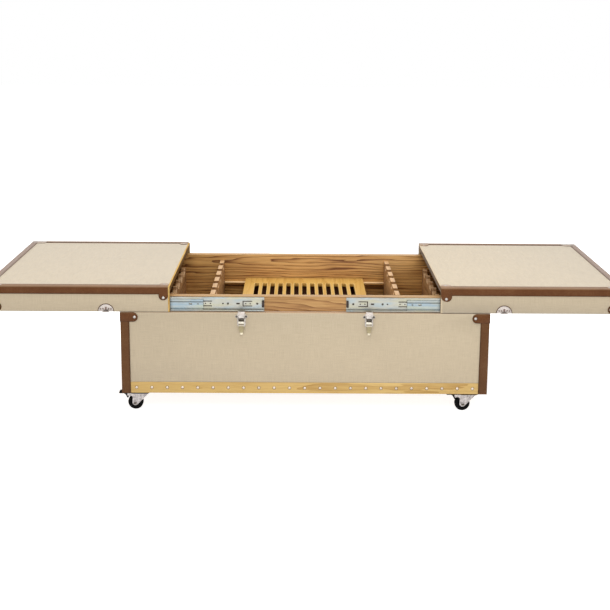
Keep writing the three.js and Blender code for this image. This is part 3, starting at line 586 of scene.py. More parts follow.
LIPPING = wood_look(
    "oak_lipping", ALONG_Y, PALE_OAK, lipping_end_shade, 0.85, 0.05, seed=LIPPING_SEED, heart=LIPPING_HEART
)
CRADLE = wood_look("cradle_wood", ALONG_Y, BOARD, rack_top_highlight, heart=(0.3, LID_LOW.z), seed=5.2)
GRATE = wood_look(
    "grate_wood", ALONG_Y, GOLDEN, grate_change, heart=(0.0, 0.1), ring=14 * MM, seed=2.2, contrast=0.6
)
PINE_X = wood_look(
    "pine_along_x", ALONG_X, PINE, heart=(0.0, PLINTH_LOW.z), ring=16 * MM, seed=7.7, contrast=0.8
)
PLY = wood_look("plywood", ALONG_X, PLYWOOD, heart=(0.0, 0.0), seed=9.1)
BRUSHED = (6, 900, 900)
ZINC = metal_look("slide_zinc", (153, 153, 149), (169, 169, 164), 0.42, passivation, BRUSHED)
MIDDLE_ZINC = metal_look(
    "slide_zinc_middle", (153, 157, 157), (167, 171, 171), 0.42, rib_painted_light, BRUSHED
)
CASTER_ZINC = metal_look("caster_zinc", (116, 111, 110), (196, 190, 188), 0.42, spangle=150)
# Dark caster plates, their darkness partly painted shade under the trunk's rail
CASTER_PLATE = moulded_look("caster_plate", (24, 19, 17), (42, 35, 31), 0.55, 900, 60, 0.1)
NICKEL = metal_look("nickel", (170, 164, 158), (194, 188, 182), 0.34, painted_down_shade=0.5)
KEEPER = metal_look("nickel_keeper", (158, 150, 144), (182, 174, 168), 0.36, painted_down_shade=0.2)
TOOTH = metal_look("nickel_shade", (92, 76, 70), (118, 100, 92), 0.4)
CLAW = metal_look("nickel_claw", (170, 164, 158), (190, 184, 178), 0.36, claw_change)
NAIL = metal_look("nickel_nail", (190, 176, 160), (222, 208, 192), 0.36, painted_down_shade=0.5)
# Dark rings round the nails: painted shadow
NAIL_SHADOW = moulded_look("nail_shadow", (112, 84, 46), (146, 112, 62), 0.7, 900, 60, 0.1)
LEVER = metal_look("nickel_lever", (186, 182, 173), (202, 198, 189), 0.3, lever_painted_light)
# Dark nickel for dark screws, and for painted shade in holes, slots and gaps
DARK_NICKEL_AND_SHADE = metal_look("nickel_dark_and_shaded", (66, 60, 54), (92, 86, 78), 0.4)
# Dark brown steel: painted shade in the bucket under the grate
STEEL = metal_look("bucket_steel", (92, 62, 48), (114, 80, 62), 0.4, brushed=(900, 900, 14))
TYRE = moulded_look("tyre", (5, 5, 5), (14, 14, 13), 0.6, 900, 120, 0.06)
PEDAL = moulded_look("pedal_plastic", (10, 10, 10), (22, 22, 22), 0.45, 1400, 60, 0.12)
BUMPER = moulded_look("bumper", (44, 34, 30), (66, 54, 48), 0.5, 1200, 70)


def faced_lipping():
    """The right lid's lipping: canvas is turned over its edges and leaves the inner face bare."""
    look = Look("oak_lipping_faced", 0.9, 0.05, Sheen_Weight=0.15, Sheen_Roughness=0.45)
    cloth, height = weave(look, *CANVAS_TONES)
    # Paler cloth: painted sheen in place of the lower sheen weight
    cloth = look.shaded(cloth, 1.06)
    wood, relief = wood_colour(look, ALONG_Y, PALE_OAK, LIPPING_SEED, LIPPING_HEART)
    bare = look.faces(0)
    # The bare face takes the painted end shade
    look.paint(look.mix(bare, cloth, lipping_end_shade(look, wood)))
    look.bump(look.pick(bare, height, relief), 0.25 * MM, 0.5)
    return look.material


FACED_LIPPING = faced_lipping()


# Carried-over solids
WELD_REACH = 0.01 * MM


def dress(node, material, bevel, smooth=True):
    """Gives a carried-over solid its material and rounds its sharp edges by some millimetres."""
    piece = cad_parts[node]
    piece.data.materials.clear()
    piece.data.materials.append(material)
    piece.data.polygons.foreach_set("use_smooth", [smooth] * len(piece.data.polygons))
    weld = piece.modifiers.new("weld", "WELD")
    weld.merge_threshold = WELD_REACH
    edge = piece.modifiers.new("bevel", "BEVEL")
    edge.width = bevel * MM
    edge.segments = 2
    edge.limit_method = "ANGLE"
    edge.angle_limit = math.radians(40)
    edge.harden_normals = True


dress("trunk_walls", TRUNK_CANVAS, 1.0)
dress("plinth_frame", PINE_X, 0.6)
dress("trunk_floor", PLY, 0.5)
dress("grate", GRATE, 1.0)
dress("ice_bucket", STEEL, 0.5)
dress("liner_front", OAK_FACE, 1.2)
dress("liner_back", OAK_X, 1.2)
for side, _ in SIDES:
    dress(f"liner_{side}", OAK_Y, 1.2)
    dress(f"divider_{side}", CRADLE, 0.8)
    dress(f"bottle_rack_{side}", CRADLE, 0.8)
    dress(f"lid_{side}_shell", LID_CANVAS, 1.0)
    dress(f"lid_{side}_lipping", LIPPING if side == "left" else FACED_LIPPING, 0.6)
    dress(f"lid_{side}_leather", LEATHER, 0.7)
    dress(f"keeper_{side}", KEEPER, 0.3)
    dress(f"latch_{side}_base", NICKEL, 0.25)
    dress(f"latch_{side}_lever", LEVER, 0.25)
    dress(f"latch_{side}_claw", CLAW, 0.25)
    for end, _ in ENDS:
        place = f"{end}_{side}"
        dress(f"corner_leather_{place}", POST_LEATHER, 0.7)
        dress(f"slide_outer_{place}", ZINC, 0.25, smooth=False)
        dress(f"slide_middle_{place}", MIDDLE_ZINC, 0.25, smooth=False)
        dress(f"slide_inner_{place}", ZINC, 0.25, smooth=False)
        dress(f"caster_{place}_plate", CASTER_PLATE, 0.3)
        dress(f"caster_{place}_fork", CASTER_ZINC, 0.4)
        dress(f"caster_{place}_wheel", TYRE, 0.8)
        dress(f"caster_{place}_pedal", PEDAL, 0.4)


def added(name, data):
    """A new object, put into the scene."""
    made = bpy.data.objects.new(name, data)
    bpy.context.scene.collection.objects.link(made)
    return made


# Small pieces in mesh code
PLATE_SINK = 0.2 * MM


class Piece:
    """Collects the skins of one small piece."""

    def __init__(self):
        self.mesh = bmesh.new()

    def skin(self, rings):
        """A closed skin through a row of rings with equal numbers of points."""
        rows = [[self.mesh.verts.new(point) for point in ring] for ring in rings]
        count = len(rows[0])
        for low, high in zip(rows, rows[1:]):
            for i in range(count):
                j = (i + 1) % count
                self.mesh.faces.new((low[i], low[j], high[j], high[i]))
        self.mesh.faces.new(rows[0][::-1])
        self.mesh.faces.new(rows[-1])

    def turned(self, place, way, profile, segments=14):
        """A turned form that stands on a face: the profile lists radius and height."""
        u = way.orthogonal().normalized()
        v = way.cross(u)
        turn = [i * math.tau / segments for i in range(segments)]
        round_about = [u * math.cos(t) + v * math.sin(t) for t in turn]
        self.skin([[place + way * h + spoke * r for spoke in round_about] for r, h in profile])

    def head(self, place, way, radius, height, segments=14):
        """A domed rivet or nail head, sunk a little into what it holds."""
        shape = ((1.0, -0.2), (1.0, 0.15), (0.92, 0.5), (0.72, 0.8), (0.4, 0.96), (0.1, 1.0))
        self.turned(place, way, [(radius * r, height * h) for r, h in shape], segments)

    def plate(self, outline, way, height, edge=0.3 * MM):
        """A flat plate with a small chamfer round its upper face."""
        centre = sum(outline, Vector()) / len(outline)
        inner = [p + (centre - p).normalized() * edge for p in outline]
        self.skin(
            [
                [p - way * PLATE_SINK for p in outline],
                [p + way * (height - edge) for p in outline],
                [p + way * height for p in inner],
            ]
        )

    def done(self, name, body, slot, material, sharp=40):
        bmesh.ops.recalc_face_normals(self.mesh, faces=self.mesh.faces)
        data = bpy.data.meshes.new(name)
        self.mesh.to_mesh(data)
        self.mesh.free()
        data.polygons.foreach_set("use_smooth", [True] * len(data.polygons))
        data.set_sharp_from_angle(angle=math.radians(sharp))
        data.materials.append(material)
        made = added(name, data)
        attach(made, body)


def in_mm(*pairs):
    """A turned profile whose radii and heights are given in millimetres."""
    return [(radius * MM, height * MM) for radius, height in pairs]


def spot(way, back, x, y, z):
    """A point by its reach towards one corner of the table and its height."""
    return Vector((way * x, MIDDLE_Y + back * y, z))


def pad(centre, u_way, v_way, half_u, half_v, radius, steps=4):
    """Points round a rectangle with round corners."""
    points = []
    for quarter, (su, sv) in enumerate(((1, 1), (-1, 1), (-1, -1), (1, -1))):
        for i in range(steps + 1):
            t = (quarter + i / steps) * math.pi / 2
            u = su * (half_u - radius) + math.cos(t) * radius
            v = sv * (half_v - radius) + math.sin(t) * radius
            points.append(centre + u_way * u + v_way * v)
    return points


def arch(centre, half_width, height, steps=16):
    points = []
    for i in range(steps + 1):
        t = math.pi * i / steps
        points.append(centre + X * math.cos(t) * half_width + Z * math.sin(t) * height)
    return points


def tongue(base, tip, low, high, steps=8):
    """Points round a strip from base to tip with a round end, as pairs of lengths."""
    radius = (high - low) / 2
    way = math.copysign(1, tip - base)
    centre = tip - way * radius
    points = [(base, low)]
    for i in range(steps + 1):
        t = math.pi * (i / steps - 0.5)
        points.append((centre + way * math.cos(t) * radius, low + radius + math.sin(t) * radius))
    return points + [(base, high)]


# Nails of the plinth rail
NAIL_PITCH = 50.36 * MM
NAIL_RADIUS = 4.9 * MM
NAIL_RISE = 1.9 * MM
NAIL_SHADOW_RING = in_mm((5.8, -0.3), (5.8, 0.1), (3.9, 0.25))
NAIL_LEVEL = PLINTH_LOW.z + 19 * MM
NAIL_TILT = 0.05
NAIL_DRIFT = 0.4 * MM
NAIL_SEGMENTS = 16
FRONT_NAILS = 23
END_NAILS = 12


def nails():
    chance = random.Random(4)
    rows = (
        (FRONT_NAILS, Vector((0, PLINTH_LOW.y, NAIL_LEVEL)), X, -Y),
        (FRONT_NAILS, Vector((0, PLINTH_HIGH.y, NAIL_LEVEL)), X, Y),
        (END_NAILS, Vector((PLINTH_LOW.x, MIDDLE_Y, NAIL_LEVEL)), Y, -X),
        (END_NAILS, Vector((PLINTH_HIGH.x, MIDDLE_Y, NAIL_LEVEL)), Y, X),
    )
    for number, (count, middle, along, way) in enumerate(rows):
        row, nail_shadows = Piece(), Piece()
        for i in range(count):
            place = middle + along * ((i - (count - 1) / 2) * NAIL_PITCH)
            tilt = Vector([chance.uniform(-NAIL_TILT, NAIL_TILT) for _ in range(3)])
            drift = Z * chance.uniform(-NAIL_DRIFT, NAIL_DRIFT)
            row.head(place + drift, (way + tilt).normalized(), NAIL_RADIUS, NAIL_RISE, NAIL_SEGMENTS)
            # A dark ring round each nail: painted shadow
            nail_shadows.turned(place, way, NAIL_SHADOW_RING, NAIL_SEGMENTS)
        row.done(f"nail_row_{number}", "trunk", "nickel", NAIL)
        nail_shadows.done(f"nail_shadow_rings_{number}", "trunk", "nickel", NAIL_SHADOW)


nails()


# Leather: burnished edges, stitching and rivets
OUTER_REACH = 0.1 * MM
CUT_MARGIN = 0.2 * MM


def cut_edges(node, ways):
    """Runs along the cut edges of a leather piece's outer faces, not along its folds.

    Each run is a list of points with the way inwards at each, and comes with the face's way.
    """
    form = bmesh.new()
    form.from_mesh(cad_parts[node].data)
    bmesh.ops.remove_doubles(form, verts=form.verts, dist=WELD_REACH)
    bmesh.ops.dissolve_limit(form, angle_limit=math.radians(1), verts=form.verts, edges=form.edges)
    form.normal_update()
    runs = []
    for face in form.faces:
        way = next((w for w in ways if face.normal.dot(w) > 0.99), None)
        if way is None:
            continue
        outermost = max(v.co.dot(way) for v in form.verts)
        if face.verts[0].co.dot(way) < outermost - OUTER_REACH:
            continue
        chain = []
        for loop in face.loops:
            a, b = loop.vert.co.copy(), loop.link_loop_next.vert.co.copy()
            along = (b - a).normalized()
            others = [f for f in loop.edge.link_faces if f is not face]
            reach = max(
                ((v.co - a) - along * (v.co - a).dot(along)).length for f in others for v in f.verts
            )
            is_cut = reach < LEATHER_THICKNESS + CUT_MARGIN
            chain.append((a, b, face.normal.cross(along), is_cut))
        first = next((i for i, step in enumerate(chain) if not step[3]), 0)
        for is_cut, run in groupby(chain[first:] + chain[:first], key=lambda step: step[3]):
            if is_cut:
                runs.append((joined(list(run)), way))
    form.free()
    return runs


def joined(run):
    """The points of a run and the mitred way inwards at each."""
    points = [run[0][0]] + [b for _, b, _, _ in run]
    ways = [inward for _, _, inward, _ in run]
    mitres = [(a + b) / (1 + a.dot(b)) for a, b in zip(ways, ways[1:])]
    return list(zip(points, [ways[0], *mitres, ways[-1]]))


EDGE_WIDTH = 2.2 * MM
EDGE_RISE = 0.12 * MM
EDGE_INNER_RISE = 0.1 * MM
EDGE_INNER_SINK = 0.4 * MM
STITCH_INSET = 4.6 * MM
STITCH_PITCH = 6.5 * MM
STITCH_LENGTH = 4.2 * MM
STITCH_RADIUS = 0.5 * MM
STITCH_RINGS = ((0.0, 0.35), (0.3, 1.0), (0.7, 1.0), (1.0, 0.35))
QUARTER_TURNS = (0, 1.57, 3.14, 4.71)


def burnished_edge(piece, run, way):
    rings = []
    for point, inward in run:
        outer, inner = point - inward * EDGE_RISE, point + inward * EDGE_WIDTH
        rings.append(
            [
                outer - way * LEATHER_THICKNESS * 0.95,
                outer + way * EDGE_RISE,
                inner + way * EDGE_INNER_RISE,
                inner - way * EDGE_INNER_SINK,
            ]
        )
    piece.skin(rings)


def stitch(piece, start, along, way):
    side = along.cross(way)
    rings = []
    for share, size in STITCH_RINGS:
        centre = start + along * STITCH_LENGTH * share + way * STITCH_RADIUS * (size - 0.6)
        radius = STITCH_RADIUS * size
        turned = [side * math.cos(t) + way * math.sin(t) for t in QUARTER_TURNS]
        rings.append([centre + spoke * radius for spoke in turned])
    piece.skin(rings)


def stitches(piece, run, way):
    line = [point + inward * STITCH_INSET for point, inward in run]
    left = STITCH_INSET
    for a, b in zip(line, line[1:]):
        length = (b - a).length
        if not length:
            continue
        along = (b - a) / length
        while left + STITCH_LENGTH < length:
            stitch(piece, a + along * left, along, way)
            left += STITCH_PITCH
        left = max(left - length, 0.0)


def trim_leather(node, ways, body):
    edges, thread = Piece(), Piece()
    for run, way in cut_edges(node, ways):
        burnished_edge(edges, run, way)
        stitches(thread, run, way)
    edges.done(f"{node}_edges", body, "leather", LEATHER_EDGE, sharp=60)
    thread.done(f"{node}_thread", body, "leather", THREAD)


RIVET_RADIUS = 4.8 * MM
RIVET_RISE = 1.5 * MM
RIVET_SHADOW_RING = in_mm((6.4, -0.2), (6.4, 0.15), (3.8, 0.3))
RING_SEGMENTS = 16
LOW_RISE = 0.9 * MM
RIVET_INSET = 44.5 * MM
RIVET_DROP = 15 * MM
TOP_RIVET_INSET = 40.5 * MM
TAB_MIDDLE = 15 * MM
TAB_RIVET_REACH = 36 * MM
TOP_RIVET_REACH = 27 * MM
PATCH_LENGTH = 54 * MM
PATCH_HEIGHT = 30 * MM
PATCH_RISE = 0.5 * MM
CAP_THICKNESS = {"front": 1.3 * MM, "back": 0.4 * MM}
CAP_DROP = 0.3 * MM
CAP_EDGE = 1.1 * MM
TAB_WIDTH = 30 * MM
TAB_REACH = 44.5 * MM
TOP_TAB_REACH = 40 * MM
COVER_RISE = 0.3 * MM


def corner_cap(name, side, way, end, back, rise, grow, material):
    cap = Piece()
    low, high = TRUNK_HIGH.z - PATCH_HEIGHT - grow, TRUNK_HIGH.z - CAP_DROP
    shape = tongue(CORNER_HIGH.x + rise, HALF_LENGTH - PATCH_LENGTH - grow, low, high)
    cap.plate([spot(way, back, u, LEATHER_REACH, v) for u, v in shape], Y * back, rise)
    shape = tongue(LEATHER_REACH + rise, HALF_DEPTH - PATCH_LENGTH - grow, low, high)
    cap.plate([spot(way, back, CORNER_HIGH.x, u, v) for u, v in shape], X * way, rise)
    cap.done(f"corner_{name}_{end}_{side}", "trunk", "leather", material, sharp=60)


def corner_caps():
    """A thicker leather cap over the top of each trunk corner, dark along its cut edge."""
    for side, way in SIDES:
        for end, back in ENDS:
            rise = CAP_THICKNESS[end]
            corner_cap("cap", side, way, end, back, rise, 0.0, LEATHER)
            corner_cap("cap_edge", side, way, end, back, rise / 2, CAP_EDGE, LEATHER_EDGE)


def lid_patches():
    """Patches on the lid's top at its outer corners, in grey leather that paints a reflection."""
    shape = tongue(LID_HIGH.x, LID_HIGH.x - PATCH_LENGTH, HALF_DEPTH - PATCH_HEIGHT, HALF_DEPTH)
    for side, way in SIDES:
        patches = Piece()
        for end, back in ENDS:
            patches.plate([spot(way, back, u, v, LEATHER_HIGH.z) for u, v in shape], Z, PATCH_RISE)
        patches.done(f"lid_patches_{side}", f"{side}_lid", "leather", SHEEN_PAINTED_LEATHER, sharp=60)


def tab_covers():
    """The right lid's tabs, carried on over its lipping to the inner end."""
    covers = Piece()
    inner, outer = LIPPING_LOW.x, LID_LOW.x + TAB_WIDTH
    rise = LEATHER_THICKNESS + COVER_RISE
    for end, back in ENDS:
        shape = tongue(LEATHER_HIGH.z, LID_HIGH.z - TAB_REACH, inner, outer)
        covers.plate([spot(1, back, u, HALF_DEPTH, v) for v, u in shape], Y * back, rise)
        shape = tongue(LEATHER_REACH, HALF_DEPTH - TOP_TAB_REACH, inner, outer)
        covers.plate([spot(1, back, u, v, LID_HIGH.z) for v, u in shape], Z, rise)
    covers.done("lid_tab_covers", "right_lid", "leather", LEATHER, sharp=60)


class Riveted:
    """Rivets, each with a dark ring round it: painted shade of the dent it presses into the leather."""

    def __init__(self):
        self.heads, self.rings = Piece(), Piece()

    def head(self, place, way, rise):
        self.heads.head(place, way, RIVET_RADIUS, rise)
        # A dark ring round each rivet: painted shadow of its dent
        self.rings.turned(place, way, RIVET_SHADOW_RING, RING_SEGMENTS)

    def done(self, name, body):
        self.heads.done(name, body, "nickel", NICKEL)
        self.rings.done(f"{name}_rings", body, "leather", LEATHER_EDGE)


def rivets():
    patch_x, patch_y = LID_HIGH.x - RIVET_INSET, HALF_DEPTH - RIVET_INSET
    for side, way in SIDES:
        on_trunk, on_lid = Riveted(), Riveted()
        tab_x = LID_LOW.x + TAB_MIDDLE
        if side == "right":
            tab_x = (LIPPING_LOW.x + LID_LOW.x + TAB_MIDDLE * 2) / 2
        for end, back in ENDS:
            out, aside = Y * back, X * way
            rise = RIVET_RISE if end == "front" else LOW_RISE
            cap = CAP_THICKNESS[end]
            level = TRUNK_HIGH.z - RIVET_DROP
            place = spot(way, back, HALF_LENGTH - RIVET_INSET, LEATHER_REACH + cap, level)
            on_trunk.head(place, out, rise if end == "front" else rise - cap)
            on_trunk.head(spot(way, back, CORNER_HIGH.x + cap, patch_y, level), aside, RIVET_RISE)

            level = LID_LOW.z + RIVET_DROP
            on_lid.head(spot(way, back, patch_x, LEATHER_REACH, level), out, rise)
            on_lid.head(spot(way, back, LEATHER_HIGH.x, patch_y, level), aside, LOW_RISE)
            level = LID_HIGH.z - TAB_RIVET_REACH
            on_lid.head(spot(way, back, tab_x, LEATHER_REACH, level), out, rise)
            place = spot(way, back, tab_x, HALF_DEPTH - TOP_RIVET_REACH, LEATHER_HIGH.z)
            on_lid.head(place, Z, LOW_RISE)
            corner_x, corner_y = LID_HIGH.x - TOP_RIVET_INSET, HALF_DEPTH - RIVET_DROP
            on_lid.head(spot(way, back, corner_x, corner_y, LEATHER_HIGH.z), Z, LOW_RISE)
        on_trunk.done(f"trunk_rivets_{side}", "trunk")
        on_lid.done(f"lid_rivets_{side}", f"{side}_lid")


for side, way in SIDES:
    trim_leather(f"lid_{side}_leather", (Z, Y, -Y, X * way), f"{side}_lid")
    for end, back in ENDS:
        trim_leather(f"corner_leather_{end}_{side}", (Y * back, X * way), "trunk")
corner_caps()
lid_patches()
tab_covers()
rivets()


# Slides: end bumpers, dark screws, and dark marks as painted shade in the pierced holes
BUMPER_LENGTH = 7.7 * MM
BUMPER_GAP = 0.2 * MM
BUMPER_CORNER = 3 * MM
BUMPER_EDGE = 1.2 * MM
BUMPER_HALF_HEIGHT = 11.5 * MM
BUMPER_REACH = 8.2 * MM
SLIDE_SCREWS = (23 * MM, 119 * MM)
SCREW_HEAD = ((3.6, -0.6), (3.6, 0.2), (3.2, 1.0), (2.2, 1.5))
SCREW_RECESS = ((1.6, 1.5), (1.1, 0.5), (0.4, 0.4))
SLIDE_SCREW = in_mm(*SCREW_HEAD, *SCREW_RECESS)
SCREW_SEGMENTS = 16
TONGUE_MARKS = (46 * MM, 61 * MM, 176 * MM, 192 * MM)
TONGUE_MARK = in_mm((2.3, -0.2), (2.3, 0.15), (1.6, 0.3))


def slide_trim(end, back, side, way):
    out = Y * back

    def place(reach):
        return spot(way, back, SLIDE_LOW.x + reach, LINER_HALF_DEPTH + SLIDE_SHEET, SLIDE_MIDDLE)

    bumper, marks, screws = Piece(), Piece(), Piece()
    half = BUMPER_LENGTH / 2
    outline = pad(place(half + BUMPER_GAP), X, Z, half, BUMPER_HALF_HEIGHT, BUMPER_CORNER)
    bumper.plate(outline, out, BUMPER_REACH - SLIDE_SHEET, BUMPER_EDGE)
    # Dark discs in the tongue holes: painted shade
    for reach in TONGUE_MARKS:
        marks.turned(place(reach), out, TONGUE_MARK)
    # Dark screw heads, their darkness partly painted shade in the holes
    for reach in SLIDE_SCREWS:
        screws.turned(place(reach), out, SLIDE_SCREW, SCREW_SEGMENTS)
    bumper.done(f"slide_bumper_{end}_{side}", "trunk", "pedal_plastic", BUMPER)
    marks.done(f"slide_marks_{end}_{side}", "trunk", "slide_zinc", DARK_NICKEL_AND_SHADE)
    screws.done(f"slide_screws_{end}_{side}", "trunk", "slide_zinc", DARK_NICKEL_AND_SHADE)


# Latches and keepers: rivets, and dark plates for painted shade in a recess, round the keeper and in
# its teeth
SHADE_ARCH_DROP = 20 * MM
SHADE_ARCH_HALF_WIDTH = 12 * MM
SHADE_ARCH_HEIGHT = 5 * MM
SHADE_ARCH_RISE = 0.4 * MM
EAR_REACH = 15.4 * MM
EAR_DROP = 10 * MM
EAR_SINK = 0.2 * MM
EAR_RIVET = (3.6 * MM, 1.7 * MM)
MARKS = 3
MARK = (2.1 * MM, 2.4 * MM, 1.2 * MM)
MARK_RISE = 0.5 * MM
MARK_INSET = 1.2 * MM
MARK_DEPTH = 8.6 * MM
MARK_LEVEL = 30 * MM


def latch_trim(side, way):
    middle = Vector((way * LATCH_X, LATCH_FACE, 0))
    recess_shade = Piece()
    # A dark arch: painted shade in the gap between the claw and the lever's roll, with dark rivets on
    # the ears
    foot = middle + Z * (LATCH_HIGH.z - SHADE_ARCH_DROP)
    recess_shade.plate(arch(foot, SHADE_ARCH_HALF_WIDTH, SHADE_ARCH_HEIGHT), -Y, SHADE_ARCH_RISE)
    for across in (-EAR_REACH, EAR_REACH):
        place = middle + X * across - Y * EAR_SINK + Z * (LATCH_HIGH.z - EAR_DROP)
        recess_shade.head(place, -Y, *EAR_RIVET)
    recess_shade.done(f"latch_recess_shade_{side}", "trunk", "nickel", DARK_NICKEL_AND_SHADE)

    marks = Piece()
    width = LEVER_HIGH.x - LEVER_LOW.x - MARK_INSET * 2
    depth, level = LEVER_LOW.y + MARK_DEPTH, LEVER_LOW.z + MARK_LEVEL
    start = Vector((way * LATCH_X - width / 2, depth, level))
    for i in range(MARKS):
        place = start + X * width * (i + 0.5) / MARKS
        marks.plate(pad(place, X, Z, *MARK), -Y, MARK_RISE)
    marks.done(f"latch_lever_marks_{side}", f"{side}_latch_lever", "nickel", DARK_NICKEL_AND_SHADE)


# The teeth are dark plates: painted shade in the keeper's slots, with its two dark rivets at the ends
# Each tooth's place across and up, half width, half height and rise, in millimetres
KEEPER_TEETH = (
    (-17, 9.4, 2.2, 2.0, 1.7),
    (-9, 9.6, 2.2, 2.6, 0.35),
    (0, 11.0, 3.0, 5.0, 0.35),
    (9, 9.6, 2.2, 2.6, 0.35),
    (17, 9.4, 2.2, 2.0, 1.7),
)
TOOTH_LEAN = 0.02
TOOTH_CORNER = 1.4 * MM
KEEPER_THICKNESS = 1.5 * MM
SHADOW_RIM_MARGIN = 2.0 * MM
SHADOW_RIM_RISE = 0.7 * MM
SHADOW_RIM_STEPS = 24


def keeper_trim(side, way):
    centre = Vector((way * KEEPER_X, LID_LOW.y, KEEPER_LOW.z))
    half_width = (KEEPER_HIGH.x - KEEPER_LOW.x) / 2
    height = KEEPER_HIGH.z - KEEPER_LOW.z
    shadow_rim, teeth = Piece(), Piece()
    # A dark rim round the keeper: painted shadow of its edge
    outline = arch(centre, half_width + SHADOW_RIM_MARGIN, height + SHADOW_RIM_MARGIN, SHADOW_RIM_STEPS)
    shadow_rim.plate(outline, -Y, SHADOW_RIM_RISE)
    for across, up, half_u, half_v, rise in KEEPER_TEETH:
        place = centre + X * across * MM + Z * up * MM - Y * KEEPER_THICKNESS
        lean = Z + X * across * TOOTH_LEAN
        outline = pad(place, X, lean, half_u * MM, half_v * MM, TOOTH_CORNER)
        teeth.plate(outline, -Y, rise * MM)
    shadow_rim.done(f"keeper_shadow_rim_{side}", f"{side}_lid", "leather", LEATHER_EDGE)
    teeth.done(f"keeper_teeth_{side}", f"{side}_lid", "nickel", TOOTH)


# Casters: plate screws, axle nuts with their slots, and pedal grips
SCREW_REACH = 22 * MM
CASTER_SCREW = in_mm((5.0, -1.0), (5.0, 1.6), (4.4, 2.2), (1.0, 2.3))
AXLE_NUT = in_mm((4.6, -0.5), (4.6, 0.5), (3.8, 0.9), (1.0, 0.95))
HEXAGON = 6
NUT_SLOT = (5.2 * MM, 3.2 * MM, 2.4 * MM)
NUT_SLOT_RISE = 1.15 * MM
GRIP_BARS = 3
GRIP_START = 4 * MM
GRIP_PITCH = 3.4 * MM
GRIP_BAR = (0.8 * MM, 7 * MM, 0.7 * MM)
GRIP_RISE = 0.9 * MM


def caster_trim(end, side):
    place = f"{end}_{side}"
    plate_low, plate_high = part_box(f"caster_{place}_plate")
    fork_low, fork_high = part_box(f"caster_{place}_fork")
    wheel_low, wheel_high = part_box(f"caster_{place}_wheel")
    pedal_low, pedal_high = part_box(f"caster_{place}_pedal")
    middle = (plate_low + plate_high) / 2
    screws = Piece()
    for u in (-SCREW_REACH, SCREW_REACH):
        for v in (-SCREW_REACH, SCREW_REACH):
            corner = Vector((middle.x + u, middle.y + v, plate_low.z))
            screws.turned(corner, -Z, CASTER_SCREW, HEXAGON)
    screws.done(f"caster_screws_{place}", "trunk", "caster_zinc", CASTER_ZINC)

    hub = (wheel_low + wheel_high) / 2
    nuts, slots = Piece(), Piece()
    for face_y, out in ((fork_low.y, -Y), (fork_high.y, Y)):
        face = Vector((hub.x, face_y, hub.z))
        nuts.turned(face, out, AXLE_NUT, HEXAGON)
        slots.plate(pad(face, X, Z, *NUT_SLOT), out, NUT_SLOT_RISE)
    body = f"caster_{place}"
    nuts.done(f"caster_nuts_{place}", body, "caster_zinc", CASTER_ZINC)
    slots.done(f"caster_nut_slots_{place}", body, "caster_zinc", DARK_NICKEL_AND_SHADE)

    grip = Piece()
    for i in range(GRIP_BARS):
        x = pedal_low.x + GRIP_START + GRIP_PITCH * i
        bar = Vector((x, (pedal_low.y + pedal_high.y) / 2, pedal_high.z))
        grip.plate(pad(bar, X, Y, *GRIP_BAR), Z, GRIP_RISE)
    grip.done(f"pedal_grip_{place}", f"pedal_{place}", "pedal_plastic", PEDAL)


for side, way in SIDES:
    latch_trim(side, way)
    keeper_trim(side, way)
    for end, back in ENDS:
        slide_trim(end, back, side, way)
        caster_trim(end, side)


# Floor, light and camera
FLOOR_REACH = 14.0
FLOOR_GLOW = 0.84
FLOOR_GREY = (0.8, 0.8, 0.8, 1)
WHITE = (1, 1, 1, 1)
WORLD_STRENGTH = 0.55


def stage_floor():
    """A pale floor that shows the object's shadow and reads as white to the camera."""
    mesh = bpy.data.meshes.new("floor")
    corners = [Vector((u, v, 0)) * FLOOR_REACH for u, v in ((-1, -1), (1, -1), (1, 1), (-1, 1))]
    mesh.from_pydata(corners, [], [(0, 1, 2, 3)])
    floor = added("floor", mesh)
    look = Look("floor", 0.9, 0.0, Base_Color=FLOOR_GREY, Emission_Color=WHITE)
    look.drive("Emission Strength", look.times(look.seen(), FLOOR_GLOW))
    mesh.materials.append(look.material)


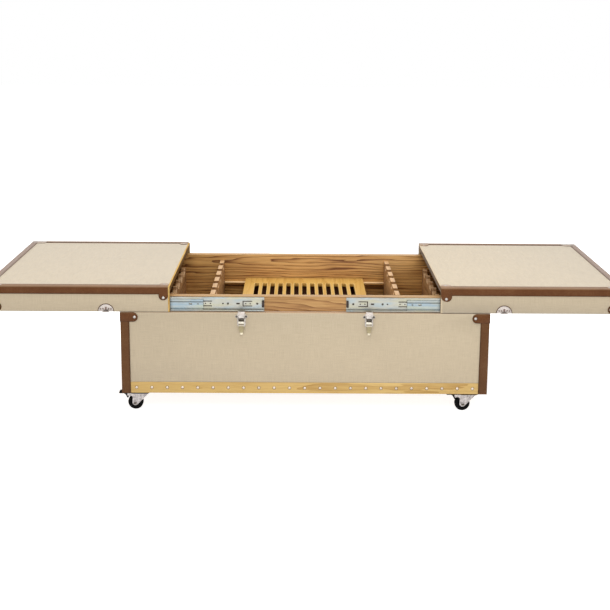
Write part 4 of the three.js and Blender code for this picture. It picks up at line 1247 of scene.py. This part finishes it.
def world_light():
    """Even light on the object, and white to the camera and in reflections."""
    world = bpy.data.worlds.new("studio")
    bpy.context.scene.world = world
    world.use_nodes = True
    nodes = Nodes(world.node_tree)
    background = nodes.tree.nodes["Background"]
    background.inputs["Color"].default_value = WHITE
    level = nodes.span(nodes.seen(), 0.0, 1.0, WORLD_STRENGTH, 1.0)
    nodes.tree.links.new(level, background.inputs["Strength"])


def soft_lamp(name, place, target, size, power):
    data = bpy.data.lights.new(name, "AREA")
    data.shape = "RECTANGLE"
    data.size, data.size_y = size
    data.energy = power
    lamp = added(name, data)
    lamp.location = place
    lamp.rotation_mode = "QUATERNION"
    lamp.rotation_quaternion = (Vector(target) - Vector(place)).to_track_quat("-Z", "Y")


# The camera as fitted to the photograph's straight edges
IMAGE_SIZE = 610
FOCAL_PIXELS = 1043.4
AXIS_PIXEL = 200.0
CAMERA_PLACE = Vector((-0.0282, -3.59325, 1.3189))
PITCH, YAW, ROLL = 0.1822, 0.0075, 0.0074
SENSOR = 36.0


def photo_camera():
    data = bpy.data.cameras.new("camera")
    data.sensor_width = SENSOR
    data.lens = SENSOR * FOCAL_PIXELS / IMAGE_SIZE
    # The photograph's optical axis lies above the middle of its frame
    data.shift_y = -(IMAGE_SIZE / 2 - AXIS_PIXEL) / IMAGE_SIZE
    camera = added("camera", data)
    across, ahead = math.sin(YAW) * math.cos(PITCH), math.cos(YAW) * math.cos(PITCH)
    forward = Vector((across, ahead, -math.sin(PITCH)))
    level = Vector((math.cos(YAW), -math.sin(YAW), 0))
    above = level.cross(forward)
    right = math.cos(ROLL) * level + math.sin(ROLL) * above
    up = -math.sin(ROLL) * level + math.cos(ROLL) * above
    turn = Matrix((right, up, -forward)).transposed()
    camera.matrix_world = Matrix.Translation(CAMERA_PLACE) @ turn.to_4x4()
    bpy.context.scene.camera = camera


stage_floor()
world_light()
soft_lamp("key", place=(0.0, -3.0, 3.4), target=(0, 0, 0.3), size=(3.0, 2.0), power=44)
soft_lamp("top", place=(0.1, 0.3, 3.6), target=(0, 0, 0.3), size=(4.0, 2.5), power=84)
soft_lamp("front", place=(0.0, -5.5, 0.58), target=(0, 0, 0.2), size=(5.0, 1.1), power=54)
photo_camera()
bpy.context.scene.view_settings.view_transform = "Standard"
